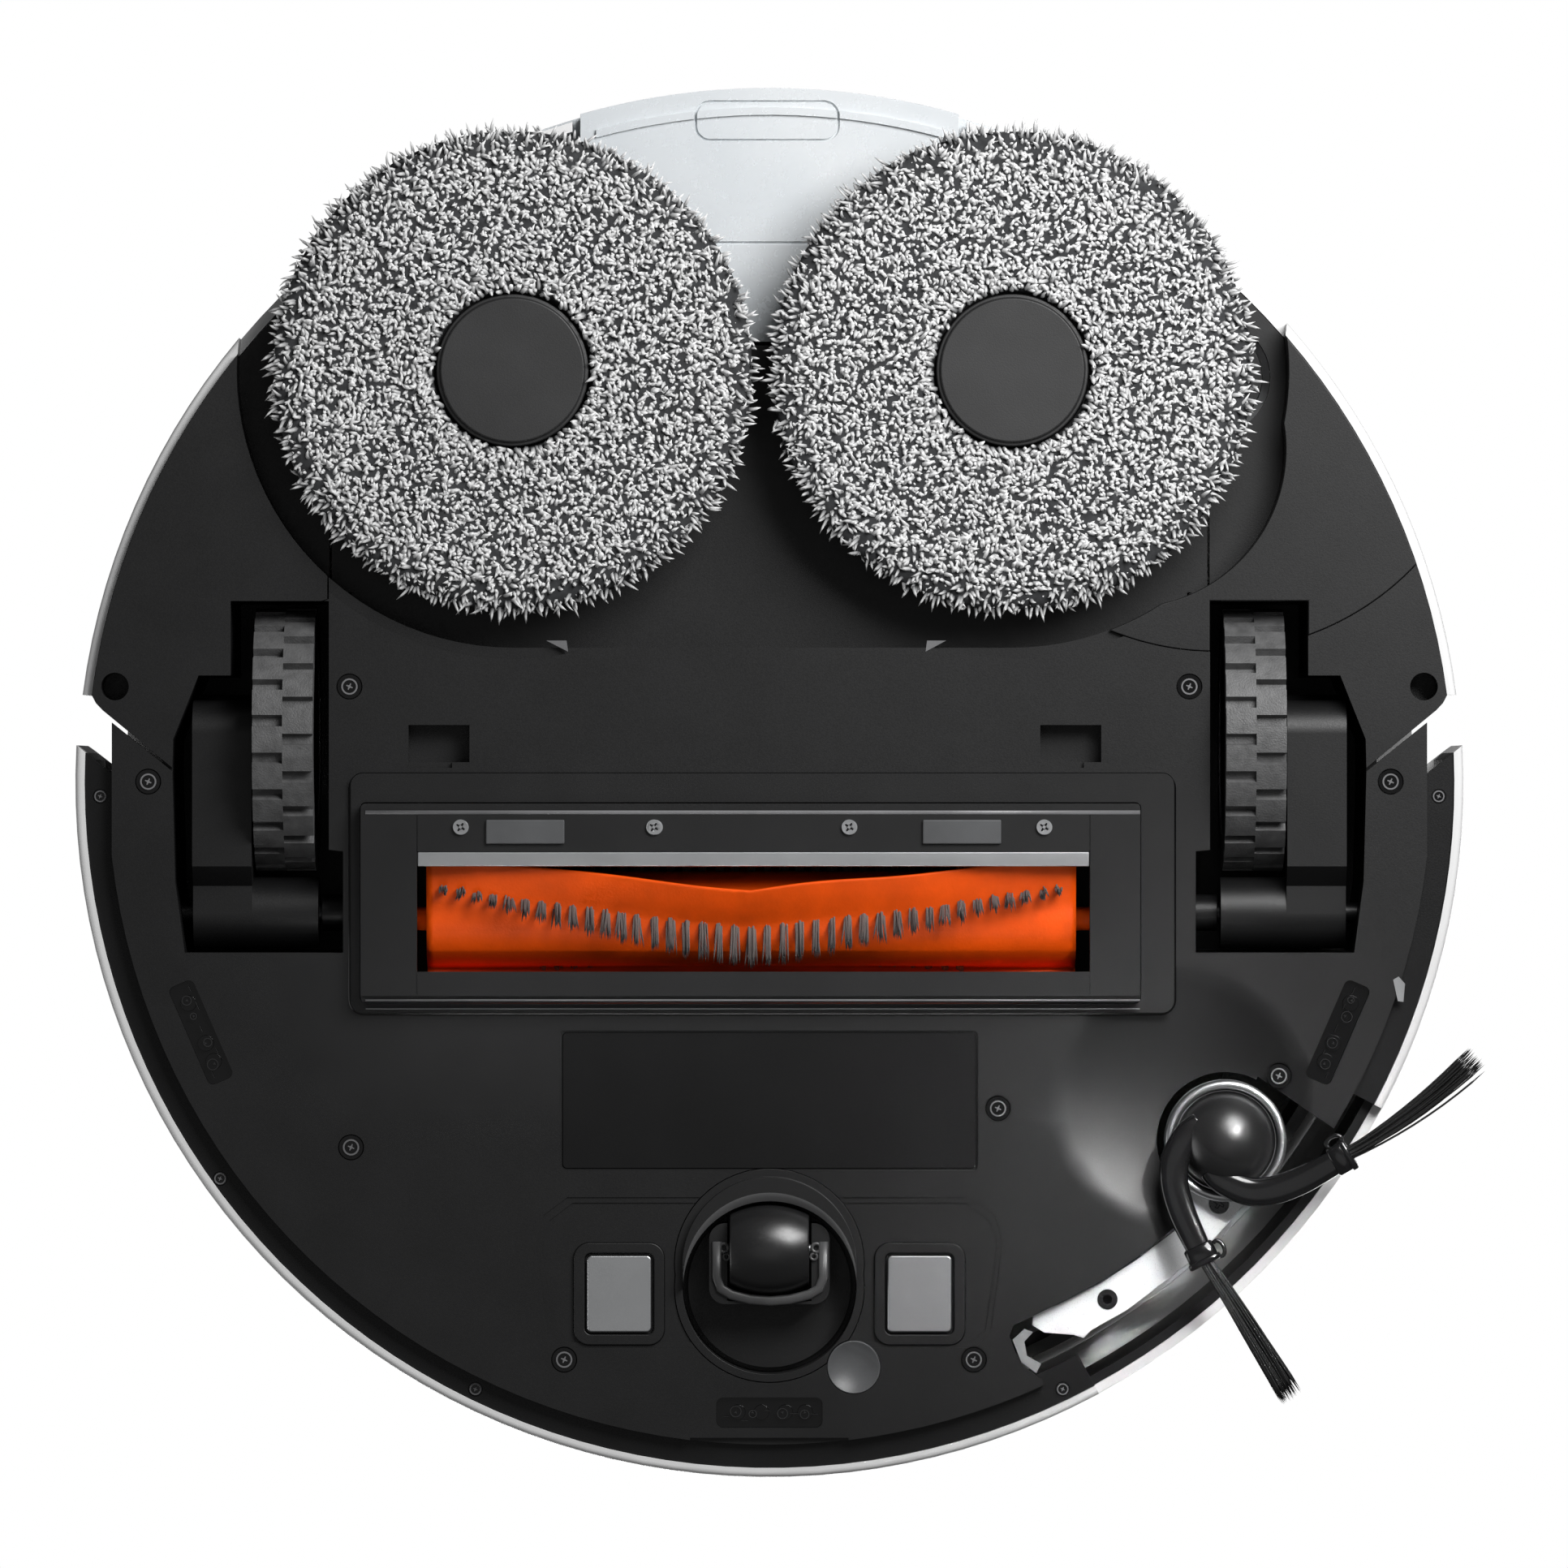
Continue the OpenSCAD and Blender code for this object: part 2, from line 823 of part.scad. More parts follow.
module tyre() {
    color([0.2, 0.2, 0.2])
        difference() {
            union() {
                translate([-wheel_x - wheel_w / 2, wheel_y, wheel_r])
                    rotate([90, 0, 90])
                        linear_extrude(wheel_w / 2)
                            tread_2d(-90);
                translate([-wheel_x, wheel_y, wheel_r])
                    rotate([90, 0, 90])
                        linear_extrude(wheel_w / 2)
                            tread_2d(-90 + 180 / lugs);
            }
            rod(-140, -110, wheel_y, wheel_r, 24.5, 72);
        }
}

module left_gearbox() {
    gearbox();
}

module left_hub() {
    wheel_hub();
}

module left_tyre() {
    tyre();
}

module right_gearbox() {
    mirror([1, 0, 0])
        gearbox();
}

module right_hub() {
    mirror([1, 0, 0])
        wheel_hub();
}

module right_tyre() {
    mirror([1, 0, 0])
        tyre();
}

// ---------------------------------------------------------------- caster

module caster_socket() {
    color(charcoal)
        difference() {
            union() {
                post(caster_pos, caster_r + 2, base_z + 0.2, 27.5, 96);
                post([0, collar_y], caster_r + 2, base_z + 0.2, 20, 96);
                post([0, collar_y], caster_r, 8.4, base_z + 1, 96);
            }
            post(caster_pos, caster_r, 0, 25, 96);
            post(caster_pos, 4, 20, 30);
            post([21.3, 147.4], 6.9, base_z - 1, skin_top + 0.2, 48);
            translate([0, 88, 6.6])
                rotate([-24, 0, 0])
                    cube([60, 30, 8], center = true);
        }
}

module caster_fork() {
    color(charcoal)
        difference() {
            union() {
                post(caster_pos, 20.6, 21.4, 24.6, 72);
                post(caster_pos, 3.95, 24.6 - eps, 28.5);
                slab(9, 21.5)
                    intersection() {
                        rounded([-15.2, 111, 15.2, 131.4], 4);
                        translate(caster_pos)
                            circle(20.6, $fn = 72);
                    }
            }
            slab(8, 24)
                translate([-10.6, 100])
                    square([21.2, 30.6]);
            translate([-20, 127.3 - caster_trail, 11.5])
                rotate([0, 90, 0])
                    cylinder(40, r = 1.6, $fn = small_fn);
            translate([0, 127.3 - caster_trail, 11.5])
                rotate([0, 90, 0])
                    cylinder(21.2, r = 12.2, center = true, $fn = 72);
        }
}

module caster_axle() {
    color(steel)
        rod(-14.6, 14.6, 127.3 - caster_trail, caster_wheel_r, 1.6);
}

module caster_wheel() {
    color(dark)
        difference() {
            translate([0, 127.3 - caster_trail, caster_wheel_r])
                rotate([0, 90, 0])
                    rotate_extrude($fn = 72)
                        intersection() {
                            translate([0, -10])
                                square([caster_wheel_r, 20]);
                            translate([caster_wheel_r - 22, 0])
                                circle(22, $fn = 96);
                        }
            rod(-20, 20, 127.3 - caster_trail, caster_wheel_r, 1.6 + run);
        }
}

// ---------------------------------------------------------------- main brush

module brush_bay() {
    color(charcoal)
        difference() {
            union() {
                slab(9.6, 15)
                    rounded(bay, 3);
                slab(15 - eps, 49)
                    rounded([bay[0], 2.5, bay[2], bay[3]], 3);
                block([-43, bay[3] - 2, 3, 61.9], 27, 45);
            }
            slab(0, 15 + eps)
                rounded([guard[0] - 0.3, guard[1] - 0.3, guard[2] + 0.3, guard[3] + 0.3], 1.5);
            slab(15, 47)
                rounded([guard[0] - 0.3, guard[1] - 0.3, 99, guard[3] + 0.3], 1.5);
            block([-40, 50, 0, 70], 30, 42);
        }
    color(charcoal)
        difference() {
            for (x = [[-101, -89.4], [81.6, 91.5]])
                block([x[0], 26, x[1], 42.6], 8, 47 + eps);
            rod(-98, 90.8, brush_y, brush_z, 3 + run);
        }
}

function polar(r, a) = r * [cos(a), sin(a)];

// One swept blade in the roller's end view. Its root is a degrees from straight down.
module blade_2d(a, sweep) {
    polygon([
        polar(core_r - 0.6, a - 7), polar(core_r - 0.6, a + 7),
        polar(core_r + 4, a - 0.45 * sweep + 4), polar(brush_r - 0.5, a - sweep + 2.4),
        polar(brush_r - 0.5, a - sweep), polar(core_r + 4, a - 0.45 * sweep - 5)
    ]);
}

// Half of the blades, twisted from the middle to an end.
module blade_half(len) {
    linear_extrude(len, twist = blade_twist, slices = 14)
        for (a = [0, 120, 240])
            rotate(a)
                blade_2d(7, 28);
}

module brush_roller() {
    half = (brush_x1 - brush_x0) / 2;
    color(orange) {
        translate([brush_x0 + half, brush_y, brush_z])
            both_sides()
                rotate([0, 90, 0])
                    blade_half(half);
        rod(brush_x0, brush_x1, brush_y, brush_z, core_r, 64);
        rod(-97.4, brush_x0 + eps, brush_y, brush_z, 3, 48);
        rod(brush_x1 - eps, 90.4, brush_y, brush_z, 3, 48);
    }
}

// A swept tuft from the core to the brush's rim, at station u from -1 to 1. Its root is
// a degrees from straight down, and it leans by tuft_lean from the radius.
module tuft(u, row) {
    a = row + 7 - 58 * pow(abs(u), 1.15);
    x = (brush_x0 + brush_x1) / 2 + u * (brush_x1 - brush_x0 - 9) / 2;
    reach = sqrt(pow(brush_r - 0.4, 2) - pow(core_r * sin(tuft_lean), 2)) - core_r * cos(tuft_lean);
    translate([x, brush_y + core_r * sin(a), brush_z - core_r * cos(a)])
        rotate([180 + a + tuft_lean, 0, 0])
            translate([0, 0, -0.8])
                cylinder(reach + 0.8, r = 0.8, $fn = 16);
}

module brush_tufts() {
    color([0.25, 0.24, 0.24])
        difference() {
            for (row = [0, 120, 240], i = [0:tufts - 1])
                tuft(2 * i / (tufts - 1) - 1, row);
            rod(-100, 100, brush_y, brush_z, core_r, 64);
        }
}

module brush_guard() {
    color(charcoal)
        difference() {
            union() {
                slab(guard_z, guard_z + guard_t)
                    rounded(guard, 1.2);
                slab(guard_z + guard_t - eps, 13.5)
                    difference() {
                        rounded(guard, 1.2);
                        rounded([guard[0] + 1.8, guard[1] + 1.8, guard[2] - 1.8, guard[3] - 1.8], 0.8);
                    }
            }
            block(window, 0, 20);
            block([guard[0] - 1, 0, guard[2] + 1, 6.9], 0, guard_z + 0.9);
            block([guard[0] - 1, 53.6, guard[2] + 1, 60], 0, guard_z + 0.9);
            for (x = [window[0], window[2]])
                block([x - 0.15, 6.9, x + 0.15, 53.6], 0, guard_z + 0.3);
            for (p = guard_screw_pos)
                post(p, 1.05, 0, 20);
            for (x = latch_x)
                block([x - 3.3, 9.6, x + 3.3, 15], 0, 20);
        }
}

guard_screw_pos = [[-77.6, 11.1], [-28.7, 11.1], [20.3, 11.1], [69.4, 11.1]];
latch_x = [-61.5, 48.5];

module scraper_strip() {
    color(steel) {
        block([window[0] + 0.1, 17.3, window[2] - 0.1, 21], guard_z + 0.1, guard_z + 1.1);
        for (x = [-80, 0, 72])
            block([x - 4, 17.3, x + 4, 18.3], guard_z + 1.1 - eps, guard_z + 3.6);
    }
}

module guard_screws() {
    color(steel)
        for (p = guard_screw_pos)
            screw(p, 1.85, guard_z - 0.7, 0.7, 1.05, 4);
}

// A latch button that slides forward to let the guard go.
module latch(x) {
    color(grey) {
        block([x - 9.9, 9.2, x + 9.9, 15.3], guard_z - 1.1, guard_z - 0.1);
        block([x - 3, 9.9, x + 3, 12.4], guard_z - 0.1 - eps, guard_z + 5);
    }
}

module left_latch() {
    latch(latch_x[0]);
}

module right_latch() {
    latch(latch_x[1]);
}

module brush_motor() {
    color(grey) {
        rod(-98, -58, 30, 62, 12, 64);
        block([-105, 16, -98 + eps, 46], 49, 76);
    }
}

// ---------------------------------------------------------------- side brush

module lever_2d() {
    polygon([
        [103, 112.6], [92.9, 120.2], [83.6, 126.2], [72.6, 131.8], [66.6, 133.9],
        [66.4, 137], [69.4, 138.8], [76.8, 139.4], [79.4, 140.2], [81.3, 138.2],
        [90.1, 133.3], [100.7, 125.3], [106.4, 120.8], [113.2, 114.2], [126.6, 98.6],
        [121, 92], [109, 90], [101.4, 97]
    ]);
}

module side_lever() {
    color([0.8, 0.81, 0.82])
        difference() {
            union() {
                slab(skin_top + 0.3, skin_top + 3.3)
                    lever_2d();
                post(hub_pos, ring_r, skin_top + 0.3, skin_top + 3.3, 72);
            }
            post(lever_pos, 2.55, 0, 30);
            post([113.6, 106.2], 1.55, 0, 30);
            post([113.6, 106.2], 2.6, 0, skin_top + 1.5);
            post(hub_pos, 6, 0, 30, 48);
        }
}

module lever_screw() {
    color(steel)
        screw([113.6, 106.2], 2.4, skin_top + 0.35, 1.1, 1.5, 1.6);
}

module lever_bracket() {
    color(dark)
        difference() {
            union() {
                post(lever_pos, 2.5, skin_top + 0.1, 20);
                slab(19.5, 23.8)
                    link(lever_pos, [85.4, 117], 5);
                block([77, 108, 94, 123], 23.8 - eps, 33);
                post([90, 108], 4, skin_top + bowl_depth - 1, 24);
                rod(60, 90, 116, 38, 7, 48);
            }
            post(lever_pos, 1.2, 0, 18);
        }
}

module side_ring() {
    color(steel)
        difference() {
            union() {
                translate([hub_pos[0], hub_pos[1], skin_top + 0.3])
                    mirror([0, 0, 1])
                        rotate_extrude($fn = 96)
                            translate([ring_r - 2.4, 0]) {
                                square([2.4, 3.2]);
                                translate([1.2, 3.2])
                                    circle(1.2, $fn = 24);
                            }
                post(hub_pos, ring_r - 1, skin_top - 0.9, skin_top + 0.3, 72);
            }
            post(hub_pos, 3 + run, 0, 30);
        }
}

module side_hub() {
    color(dark)
        union() {
            translate([hub_pos[0], hub_pos[1], hub_z])
                intersection() {
                    sphere(hub_r, $fn = 72);
                    translate([0, 0, -8 - hub_lift])
                        cube([40, 40, 16], center = true);
                }
            post(hub_pos, 3, hub_r - eps, 21);
        }
}

arm_path = [
    [-9.5, -1.5, 6.4], [-13.2, 5.4, 6.1], [-12.8, 12.6, 5.4], [-9.8, 20.6, 4.6],
    [-5.8, 29.6, 3.6]
];

module arm_run(path, r) {
    for (i = [0:len(path) - 2])
        hull()
            for (j = [i, i + 1])
                translate(path[j])
                    scale([1, 1, 0.62])
                        sphere(r, $fn = 20);
}

// Arm A is drawn in place; arm B is the same arm turned about the hub.
module side_arms() {
    color(dark)
        difference() {
            translate([hub_pos[0], hub_pos[1], 0])
                for (a = [0, -94.5])
                    rotate(a)
                        arm_run(arm_path, 3.1);
            translate([hub_pos[0], hub_pos[1], hub_z])
                sphere(hub_r + 0.05, $fn = 72);
            post(hub_pos, 6, 0, 4);
        }
}

module bristle_bundle() {
    for (a = [-4.5, 0, 4.5], k = [0, 1])
        hull() {
            translate([-5.6 + a * 0.18, 30.4, 3.2 + k * 0.6])
                sphere(0.9, $fn = 12);
            translate([15.6 + a * 0.62, 62 - a * 0.28, 2 + k * 0.8])
                sphere(0.8, $fn = 12);
        }
}

module side_bristles() {
    color([0.05, 0.05, 0.05])
        translate([hub_pos[0], hub_pos[1], 0])
            intersection() {
                for (a = [0, -94.5])
                    rotate(a)
                        bristle_bundle();
                cylinder(10, r = bristle_reach, $fn = 96);
            }
}

// ---------------------------------------------------------------- small fittings

module contact_frames() {
    color(dark)
        both_sides()
            difference() {
                slab(base_z - 0.4, skin_top)
                    rounded([26.5, 116, 49.4, 141.8], 3.9);
                slab(base_z - 1, base_z + 1.2)
                    rounded([29.2, 118.6, 46.6, 139.1], 1.6);
            }
}

module charging_contacts() {
    color(steel)
        both_sides()
            slab(base_z - 0.8, base_z + 1.2)
                rounded([29.8, 119.2, 46, 138.5], 1.2);
}

module carpet_sensor() {
    color(grey)
        difference() {
            post([21.3, 147.4], 6.7, base_z - 0.3, skin_top, 64);
            translate([21.3, 147.4, base_z - 11])
                sphere(12.8, $fn = 64);
        }
}

module cliff_sensors() {
    color([0.02, 0.02, 0.02]) {
        both_sides()
            slab(base_z + 1.4, skin_top)
                cliff_slot_2d();
        slab(base_z + 1.4, skin_top)
            front_cliff_slot_2d();
        both_sides()
            for (d = [-8, 3, 8])
                translate([143.5 + d * cos(113.5), 62.9 + d * sin(113.5), base_z + 0.5])
                    cylinder(1, r = 2, $fn = 24);
        for (x = [-8, -2, 4, 9])
            translate([x, 158.8, base_z + 0.5])
                cylinder(1, r = 1.9, $fn = 24);
    }
}

module base_screws() {
    color([0.1, 0.1, 0.1])
        for (p = base_screw_pos)
            screw(p, 2.5, p[2], 1.3, 1.45, p[3]);
}

// ---------------------------------------------------------------- mops

module left_mop_gearbox() {
    color(dark)
        difference() {
            union() {
                post(left_mop, 14.4, ceiling_z - 1, 62, 72);
                post(left_mop + [-24, 16], 11, ceiling_z + skin, 62, 48);
                slab(ceiling_z + skin, 50)
                    link(left_mop, left_mop + [-24, 16], 8);
            }
            post(left_mop, 8 + run, 20, 58, 64);
        }
}

// The sleeve that lifts a mop. It slides in its gearbox and carries the mop's shaft.
module carriage(p) {
    color(steel)
        difference() {
            post(p, 8, 15, 42, 64);
            post(p, 4 + run, 10, 60, 48);
        }
}

module left_mop_carriage() {
    carriage(left_mop);
}

module right_mop_carriage() {
    carriage(right_mop);
}

module mop_plate(p) {
    color(dark)
        difference() {
            union() {
                post(p, pad_r - 2, pad_h, pad_h + plate_h, 96);
                post(p, 4, pad_h + plate_h - eps, 44, 48);
                post(p, mop_cap_r, 3.4, pad_h + eps, 96);
                post(p, mop_cap_r - 1, 2.4, 3.5, 96);
            }
            for (a = [0:45:315])
                translate([p[0], p[1], pad_h + plate_h])
                    rotate(a)
                        translate([36, 0, 0])
                            cylinder(3, r = 6, center = true, $fn = small_fn);
        }
}

module mop_pad(p) {
    color([0.72, 0.74, 0.76])
        translate([p[0], p[1], 0])
            difference() {
                rotate_extrude($fn = round_fn) {
                    square([pad_r - 4, pad_h]);
                    translate([0, 2.5])
                        square([pad_r, pad_h - 5]);
                    translate([pad_r - 4, 2.5 + 2])
                        circle(4, $fn = small_fn);
                }
                translate([0, 0, -5])
                    cylinder(5, r = pad_r + 1, $fn = round_fn);
                translate([0, 0, pad_h])
                    cylinder(5, r = pad_r + 1, $fn = round_fn);
                translate([0, 0, -1])
                    cylinder(pad_h + 2, r = mop_cap_r + 0.05, $fn = 96);
            }
}

module left_mop_plate() {
    mop_plate(left_mop);
}

module left_mop_pad() {
    mop_pad(left_mop);
}

module right_mop_plate() {
    mop_plate(right_mop);
}

module right_mop_pad() {
    mop_pad(right_mop);
}

module right_mop_arm() {
    color(charcoal)
        difference() {
            slab(ceiling_z + 1, 39)
                link(right_mop, arm_axis, 12.6);
            post(right_mop, 8 + run, 20, 60, 64);
            post(arm_axis, 5 + run, 20, 60, 48);
        }
}

module arm_pivot() {
    color(steel) {
        post(arm_axis, 5, 25, 46, 48);
        post(arm_axis, 16, 45.2, 58, 48);
    }
}

// ---------------------------------------------------------------- inside

module dust_bin() {
    color([0.25, 0.26, 0.28])
        difference() {
            slab(29, 76)
                rounded([-80, 62, 28, 128], 6);
            slab(31, 74)
                rounded([-78, 64, 26, 126], 4);
            block([-40, 60, 0, 66], 31, 42);
            translate([20, 95, 52])
                rotate([0, 90, 0])
                    cylinder(20, r = 14, $fn = 64);
        }
}

module battery() {
    color([0.12, 0.16, 0.22])
        slab(ceiling_z + skin, 58)
            rounded([-40, -100, 40, -50], 4);
}

module suction_fan() {
    color(dark)
        difference() {
            union() {
                rod(29, 44, 95, 52, 20, 64);
                rod(44 - eps, 66, 95, 52, 15, 64);
                block([34, 95, 58, 122], 34, 50);
            }
            rod(28, 31, 95, 52, 13, 64);
        }
}

base_front();
base_rear();
right_arm_cover();
rear_shell();
deck();
top_lid();
power_button();
home_button();
turret_base();
turret_cap();
laser_rotor();
rear_tank();
bumper_skin();
bumper_carrier();
bumper_screws();
bumper_window();
well_liners();
left_gearbox();
left_hub();
left_tyre();
right_gearbox();
right_hub();
right_tyre();
caster_socket();
caster_fork();
caster_axle();
caster_wheel();
brush_bay();
brush_roller();
brush_tufts();
brush_guard();
scraper_strip();
guard_screws();
left_latch();
right_latch();
brush_motor();
side_lever();
lever_screw();
lever_bracket();
side_ring();
side_hub();
side_arms();
side_bristles();
contact_frames();
charging_contacts();
carpet_sensor();
cliff_sensors();
base_screws();
left_mop_gearbox();
left_mop_carriage();
left_mop_plate();
left_mop_pad();
right_mop_arm();
arm_pivot();
right_mop_carriage();
right_mop_plate();
right_mop_pad();
dust_bin();
battery();
suction_fan();
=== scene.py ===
"""Looks of the robotic floor cleaner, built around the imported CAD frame. Metres."""
import math

import bmesh
import bpy
import numpy as np
from mathutils import Matrix, Vector


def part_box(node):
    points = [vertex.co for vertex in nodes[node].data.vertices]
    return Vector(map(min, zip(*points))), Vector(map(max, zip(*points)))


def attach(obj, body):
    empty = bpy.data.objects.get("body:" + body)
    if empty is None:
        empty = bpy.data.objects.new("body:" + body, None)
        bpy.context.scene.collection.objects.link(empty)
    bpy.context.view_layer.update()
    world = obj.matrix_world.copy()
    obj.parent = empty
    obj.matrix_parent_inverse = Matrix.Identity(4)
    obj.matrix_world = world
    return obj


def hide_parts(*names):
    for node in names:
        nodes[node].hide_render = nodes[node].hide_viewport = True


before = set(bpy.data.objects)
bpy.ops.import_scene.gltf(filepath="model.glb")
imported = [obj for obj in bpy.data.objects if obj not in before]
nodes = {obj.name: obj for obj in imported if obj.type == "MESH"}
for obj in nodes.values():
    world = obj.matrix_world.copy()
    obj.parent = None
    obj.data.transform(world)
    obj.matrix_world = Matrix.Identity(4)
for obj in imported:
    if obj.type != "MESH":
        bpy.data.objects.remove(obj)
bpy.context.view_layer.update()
scene = bpy.context.scene
MM = 0.001
EDGE_ANGLE = math.radians(28)
AMBIENT = 0.085
LENS = 290
SENSOR = 36
FRAME_WIDTH = 0.3955
FRAME_MIDDLE = (0.00368, 0.0002, 0.009)

# ---------------------------------------------------------------- camera and light


def make_camera():
    """A long lens below the machine."""
    cam = bpy.data.objects.new("camera", bpy.data.cameras.new("camera"))
    scene.collection.objects.link(cam)
    cam.data.lens = LENS
    cam.data.clip_start, cam.data.clip_end = 0.05, 40
    distance = FRAME_WIDTH * LENS / SENSOR
    cam.location = (FRAME_MIDDLE[0], FRAME_MIDDLE[1], FRAME_MIDDLE[2] - distance)
    # Looks straight up, with the machine's rear at the top of the picture.
    cam.rotation_euler = (math.pi, 0, 0)
    scene.camera = cam


def area_light(name, where, target, size, power, spread=180):
    """A rectangular light aimed at a target; the spread is in degrees."""
    light = bpy.data.lights.new(name, "AREA")
    light.shape = "RECTANGLE"
    light.size, light.size_y = size
    light.energy, light.spread = power, math.radians(spread)
    obj = bpy.data.objects.new(name, light)
    scene.collection.objects.link(obj)
    obj.location = where
    obj.rotation_euler = (Vector(target) - Vector(where)).to_track_quat("-Z", "Y").to_euler()


def make_world():
    """White behind the machine, and a faint even light on it."""
    world = bpy.data.worlds.new("studio")
    scene.world = world
    world.use_nodes = True
    tree = world.node_tree
    tree.nodes.clear()
    out = tree.nodes.new("ShaderNodeOutputWorld")
    mix = tree.nodes.new("ShaderNodeMixShader")
    path = tree.nodes.new("ShaderNodeLightPath")
    soft = tree.nodes.new("ShaderNodeBackground")
    seen = tree.nodes.new("ShaderNodeBackground")
    soft.inputs["Strength"].default_value = AMBIENT
    seen.inputs["Strength"].default_value = 1.0
    for n in (soft, seen):
        n.inputs["Color"].default_value = (1, 1, 1, 1)
    tree.links.new(path.outputs["Is Camera Ray"], mix.inputs[0])
    tree.links.new(soft.outputs[0], mix.inputs[1])
    tree.links.new(seen.outputs[0], mix.inputs[2])
    tree.links.new(mix.outputs[0], out.inputs["Surface"])


# ---------------------------------------------------------------- materials


def new_tree(name):
    """A new node material, its tree and its shader."""
    mat = bpy.data.materials.new(name)
    mat.use_nodes = True
    tree = mat.node_tree
    shader = tree.nodes["Principled BSDF"]
    return mat, tree, shader


def noise(tree, scale, detail=4.0, rough=0.55):
    """Noise that stays on the object as it moves."""
    coord = tree.nodes.new("ShaderNodeTexCoord")
    tex = tree.nodes.new("ShaderNodeTexNoise")
    tex.inputs["Scale"].default_value = scale
    tex.inputs["Detail"].default_value = detail
    tex.inputs["Roughness"].default_value = rough
    tree.links.new(coord.outputs["Object"], tex.inputs["Vector"])
    return tex


def mixed(tree, factor, a, b):
    """A colour between a and b."""
    mix = tree.nodes.new("ShaderNodeMix")
    mix.data_type = "RGBA"
    tree.links.new(factor, mix.inputs["Factor"])
    mix.inputs["A"].default_value = (*a, 1)
    mix.inputs["B"].default_value = (*b, 1)
    return mix.outputs["Result"]


def ranged(tree, value, low, high, out_low, out_high):
    """The value's range low to high, mapped to another range."""
    node = tree.nodes.new("ShaderNodeMapRange")
    tree.links.new(value, node.inputs["Value"])
    for key, number in (
        ("From Min", low), ("From Max", high), ("To Min", out_low), ("To Max", out_high)
    ):
        node.inputs[key].default_value = number
    return node.outputs["Result"]


def moulded(name, colour, rough, grain=2600, depth=0.12, spread=0.18, metal=0.0, coat=0.0, blotch=60,
            shine=0.5):
    """Moulded plastic or metal: fine grain in bump, faint blotches in colour and gloss."""
    mat, tree, shader = new_tree(name)
    fine = noise(tree, grain, 3)
    broad = noise(tree, blotch, 3)
    dark = tuple(c * (1 - spread) for c in colour)
    light = tuple(min(1, c * (1 + spread)) for c in colour)
    patches = ranged(tree, broad.outputs["Fac"], 0.3, 0.7, 0, 1)
    tree.links.new(mixed(tree, patches, dark, light), shader.inputs["Base Color"])
    sheen = ranged(tree, fine.outputs["Fac"], 0.3, 0.7, rough - 0.05, rough + 0.06)
    tree.links.new(sheen, shader.inputs["Roughness"])
    bump = tree.nodes.new("ShaderNodeBump")
    bump.inputs["Strength"].default_value = depth
    bump.inputs["Distance"].default_value = 0.0002
    tree.links.new(fine.outputs["Fac"], bump.inputs["Height"])
    tree.links.new(bump.outputs["Normal"], shader.inputs["Normal"])
    shader.inputs["Metallic"].default_value = metal
    shader.inputs["Coat Weight"].default_value = coat
    shader.inputs["Coat Roughness"].default_value = 0.08
    shader.inputs["Specular IOR Level"].default_value = shine
    return mat


def frosted(name):
    """The tank's milky plastic, seen through to a soft grey."""
    mat, tree, shader = new_tree(name)
    fine = noise(tree, 500, 2)
    broad = noise(tree, 18, 2)
    patches = ranged(tree, broad.outputs["Fac"], 0.3, 0.7, 0, 1)
    milky = mixed(tree, patches, (0.72, 0.76, 0.79), (0.84, 0.87, 0.89))
    tree.links.new(milky, shader.inputs["Base Color"])
    sheen = ranged(tree, fine.outputs["Fac"], 0.3, 0.7, 0.2, 0.3)
    tree.links.new(sheen, shader.inputs["Roughness"])
    shader.inputs["Transmission Weight"].default_value = 0.2
    shader.inputs["IOR"].default_value = 1.3
    shader.inputs["Subsurface Weight"].default_value = 0.25
    shader.inputs["Subsurface Radius"].default_value = (0.004, 0.004, 0.004)
    return mat


def yarn(name, root, tip):
    """Mop yarn and brush hair: root colour to tip colour along each strand, from the mesh's own shade
    values. The mop's near black roots are painted shade between the tufts; the hair's dark tips are its
    own colour.
    """
    mat, tree, shader = new_tree(name)
    shade = tree.nodes.new("ShaderNodeAttribute")
    shade.attribute_name = "shade"
    fine = noise(tree, 900, 4)
    product = tree.nodes.new("ShaderNodeMath")
    product.operation = "MULTIPLY"
    tree.links.new(shade.outputs["Fac"], product.inputs[0])
    tree.links.new(ranged(tree, fine.outputs["Fac"], 0.25, 0.75, 0.72, 1.1), product.inputs[1])
    tree.links.new(mixed(tree, product.outputs[0], root, tip), shader.inputs["Base Color"])
    shader.inputs["Roughness"].default_value = 0.85
    shader.inputs["Sheen Weight"].default_value = 0.25
    bump = tree.nodes.new("ShaderNodeBump")
    bump.inputs["Strength"].default_value = 0.5
    bump.inputs["Distance"].default_value = 0.0002
    tree.links.new(fine.outputs["Fac"], bump.inputs["Height"])
    tree.links.new(bump.outputs["Normal"], shader.inputs["Normal"])
    return mat


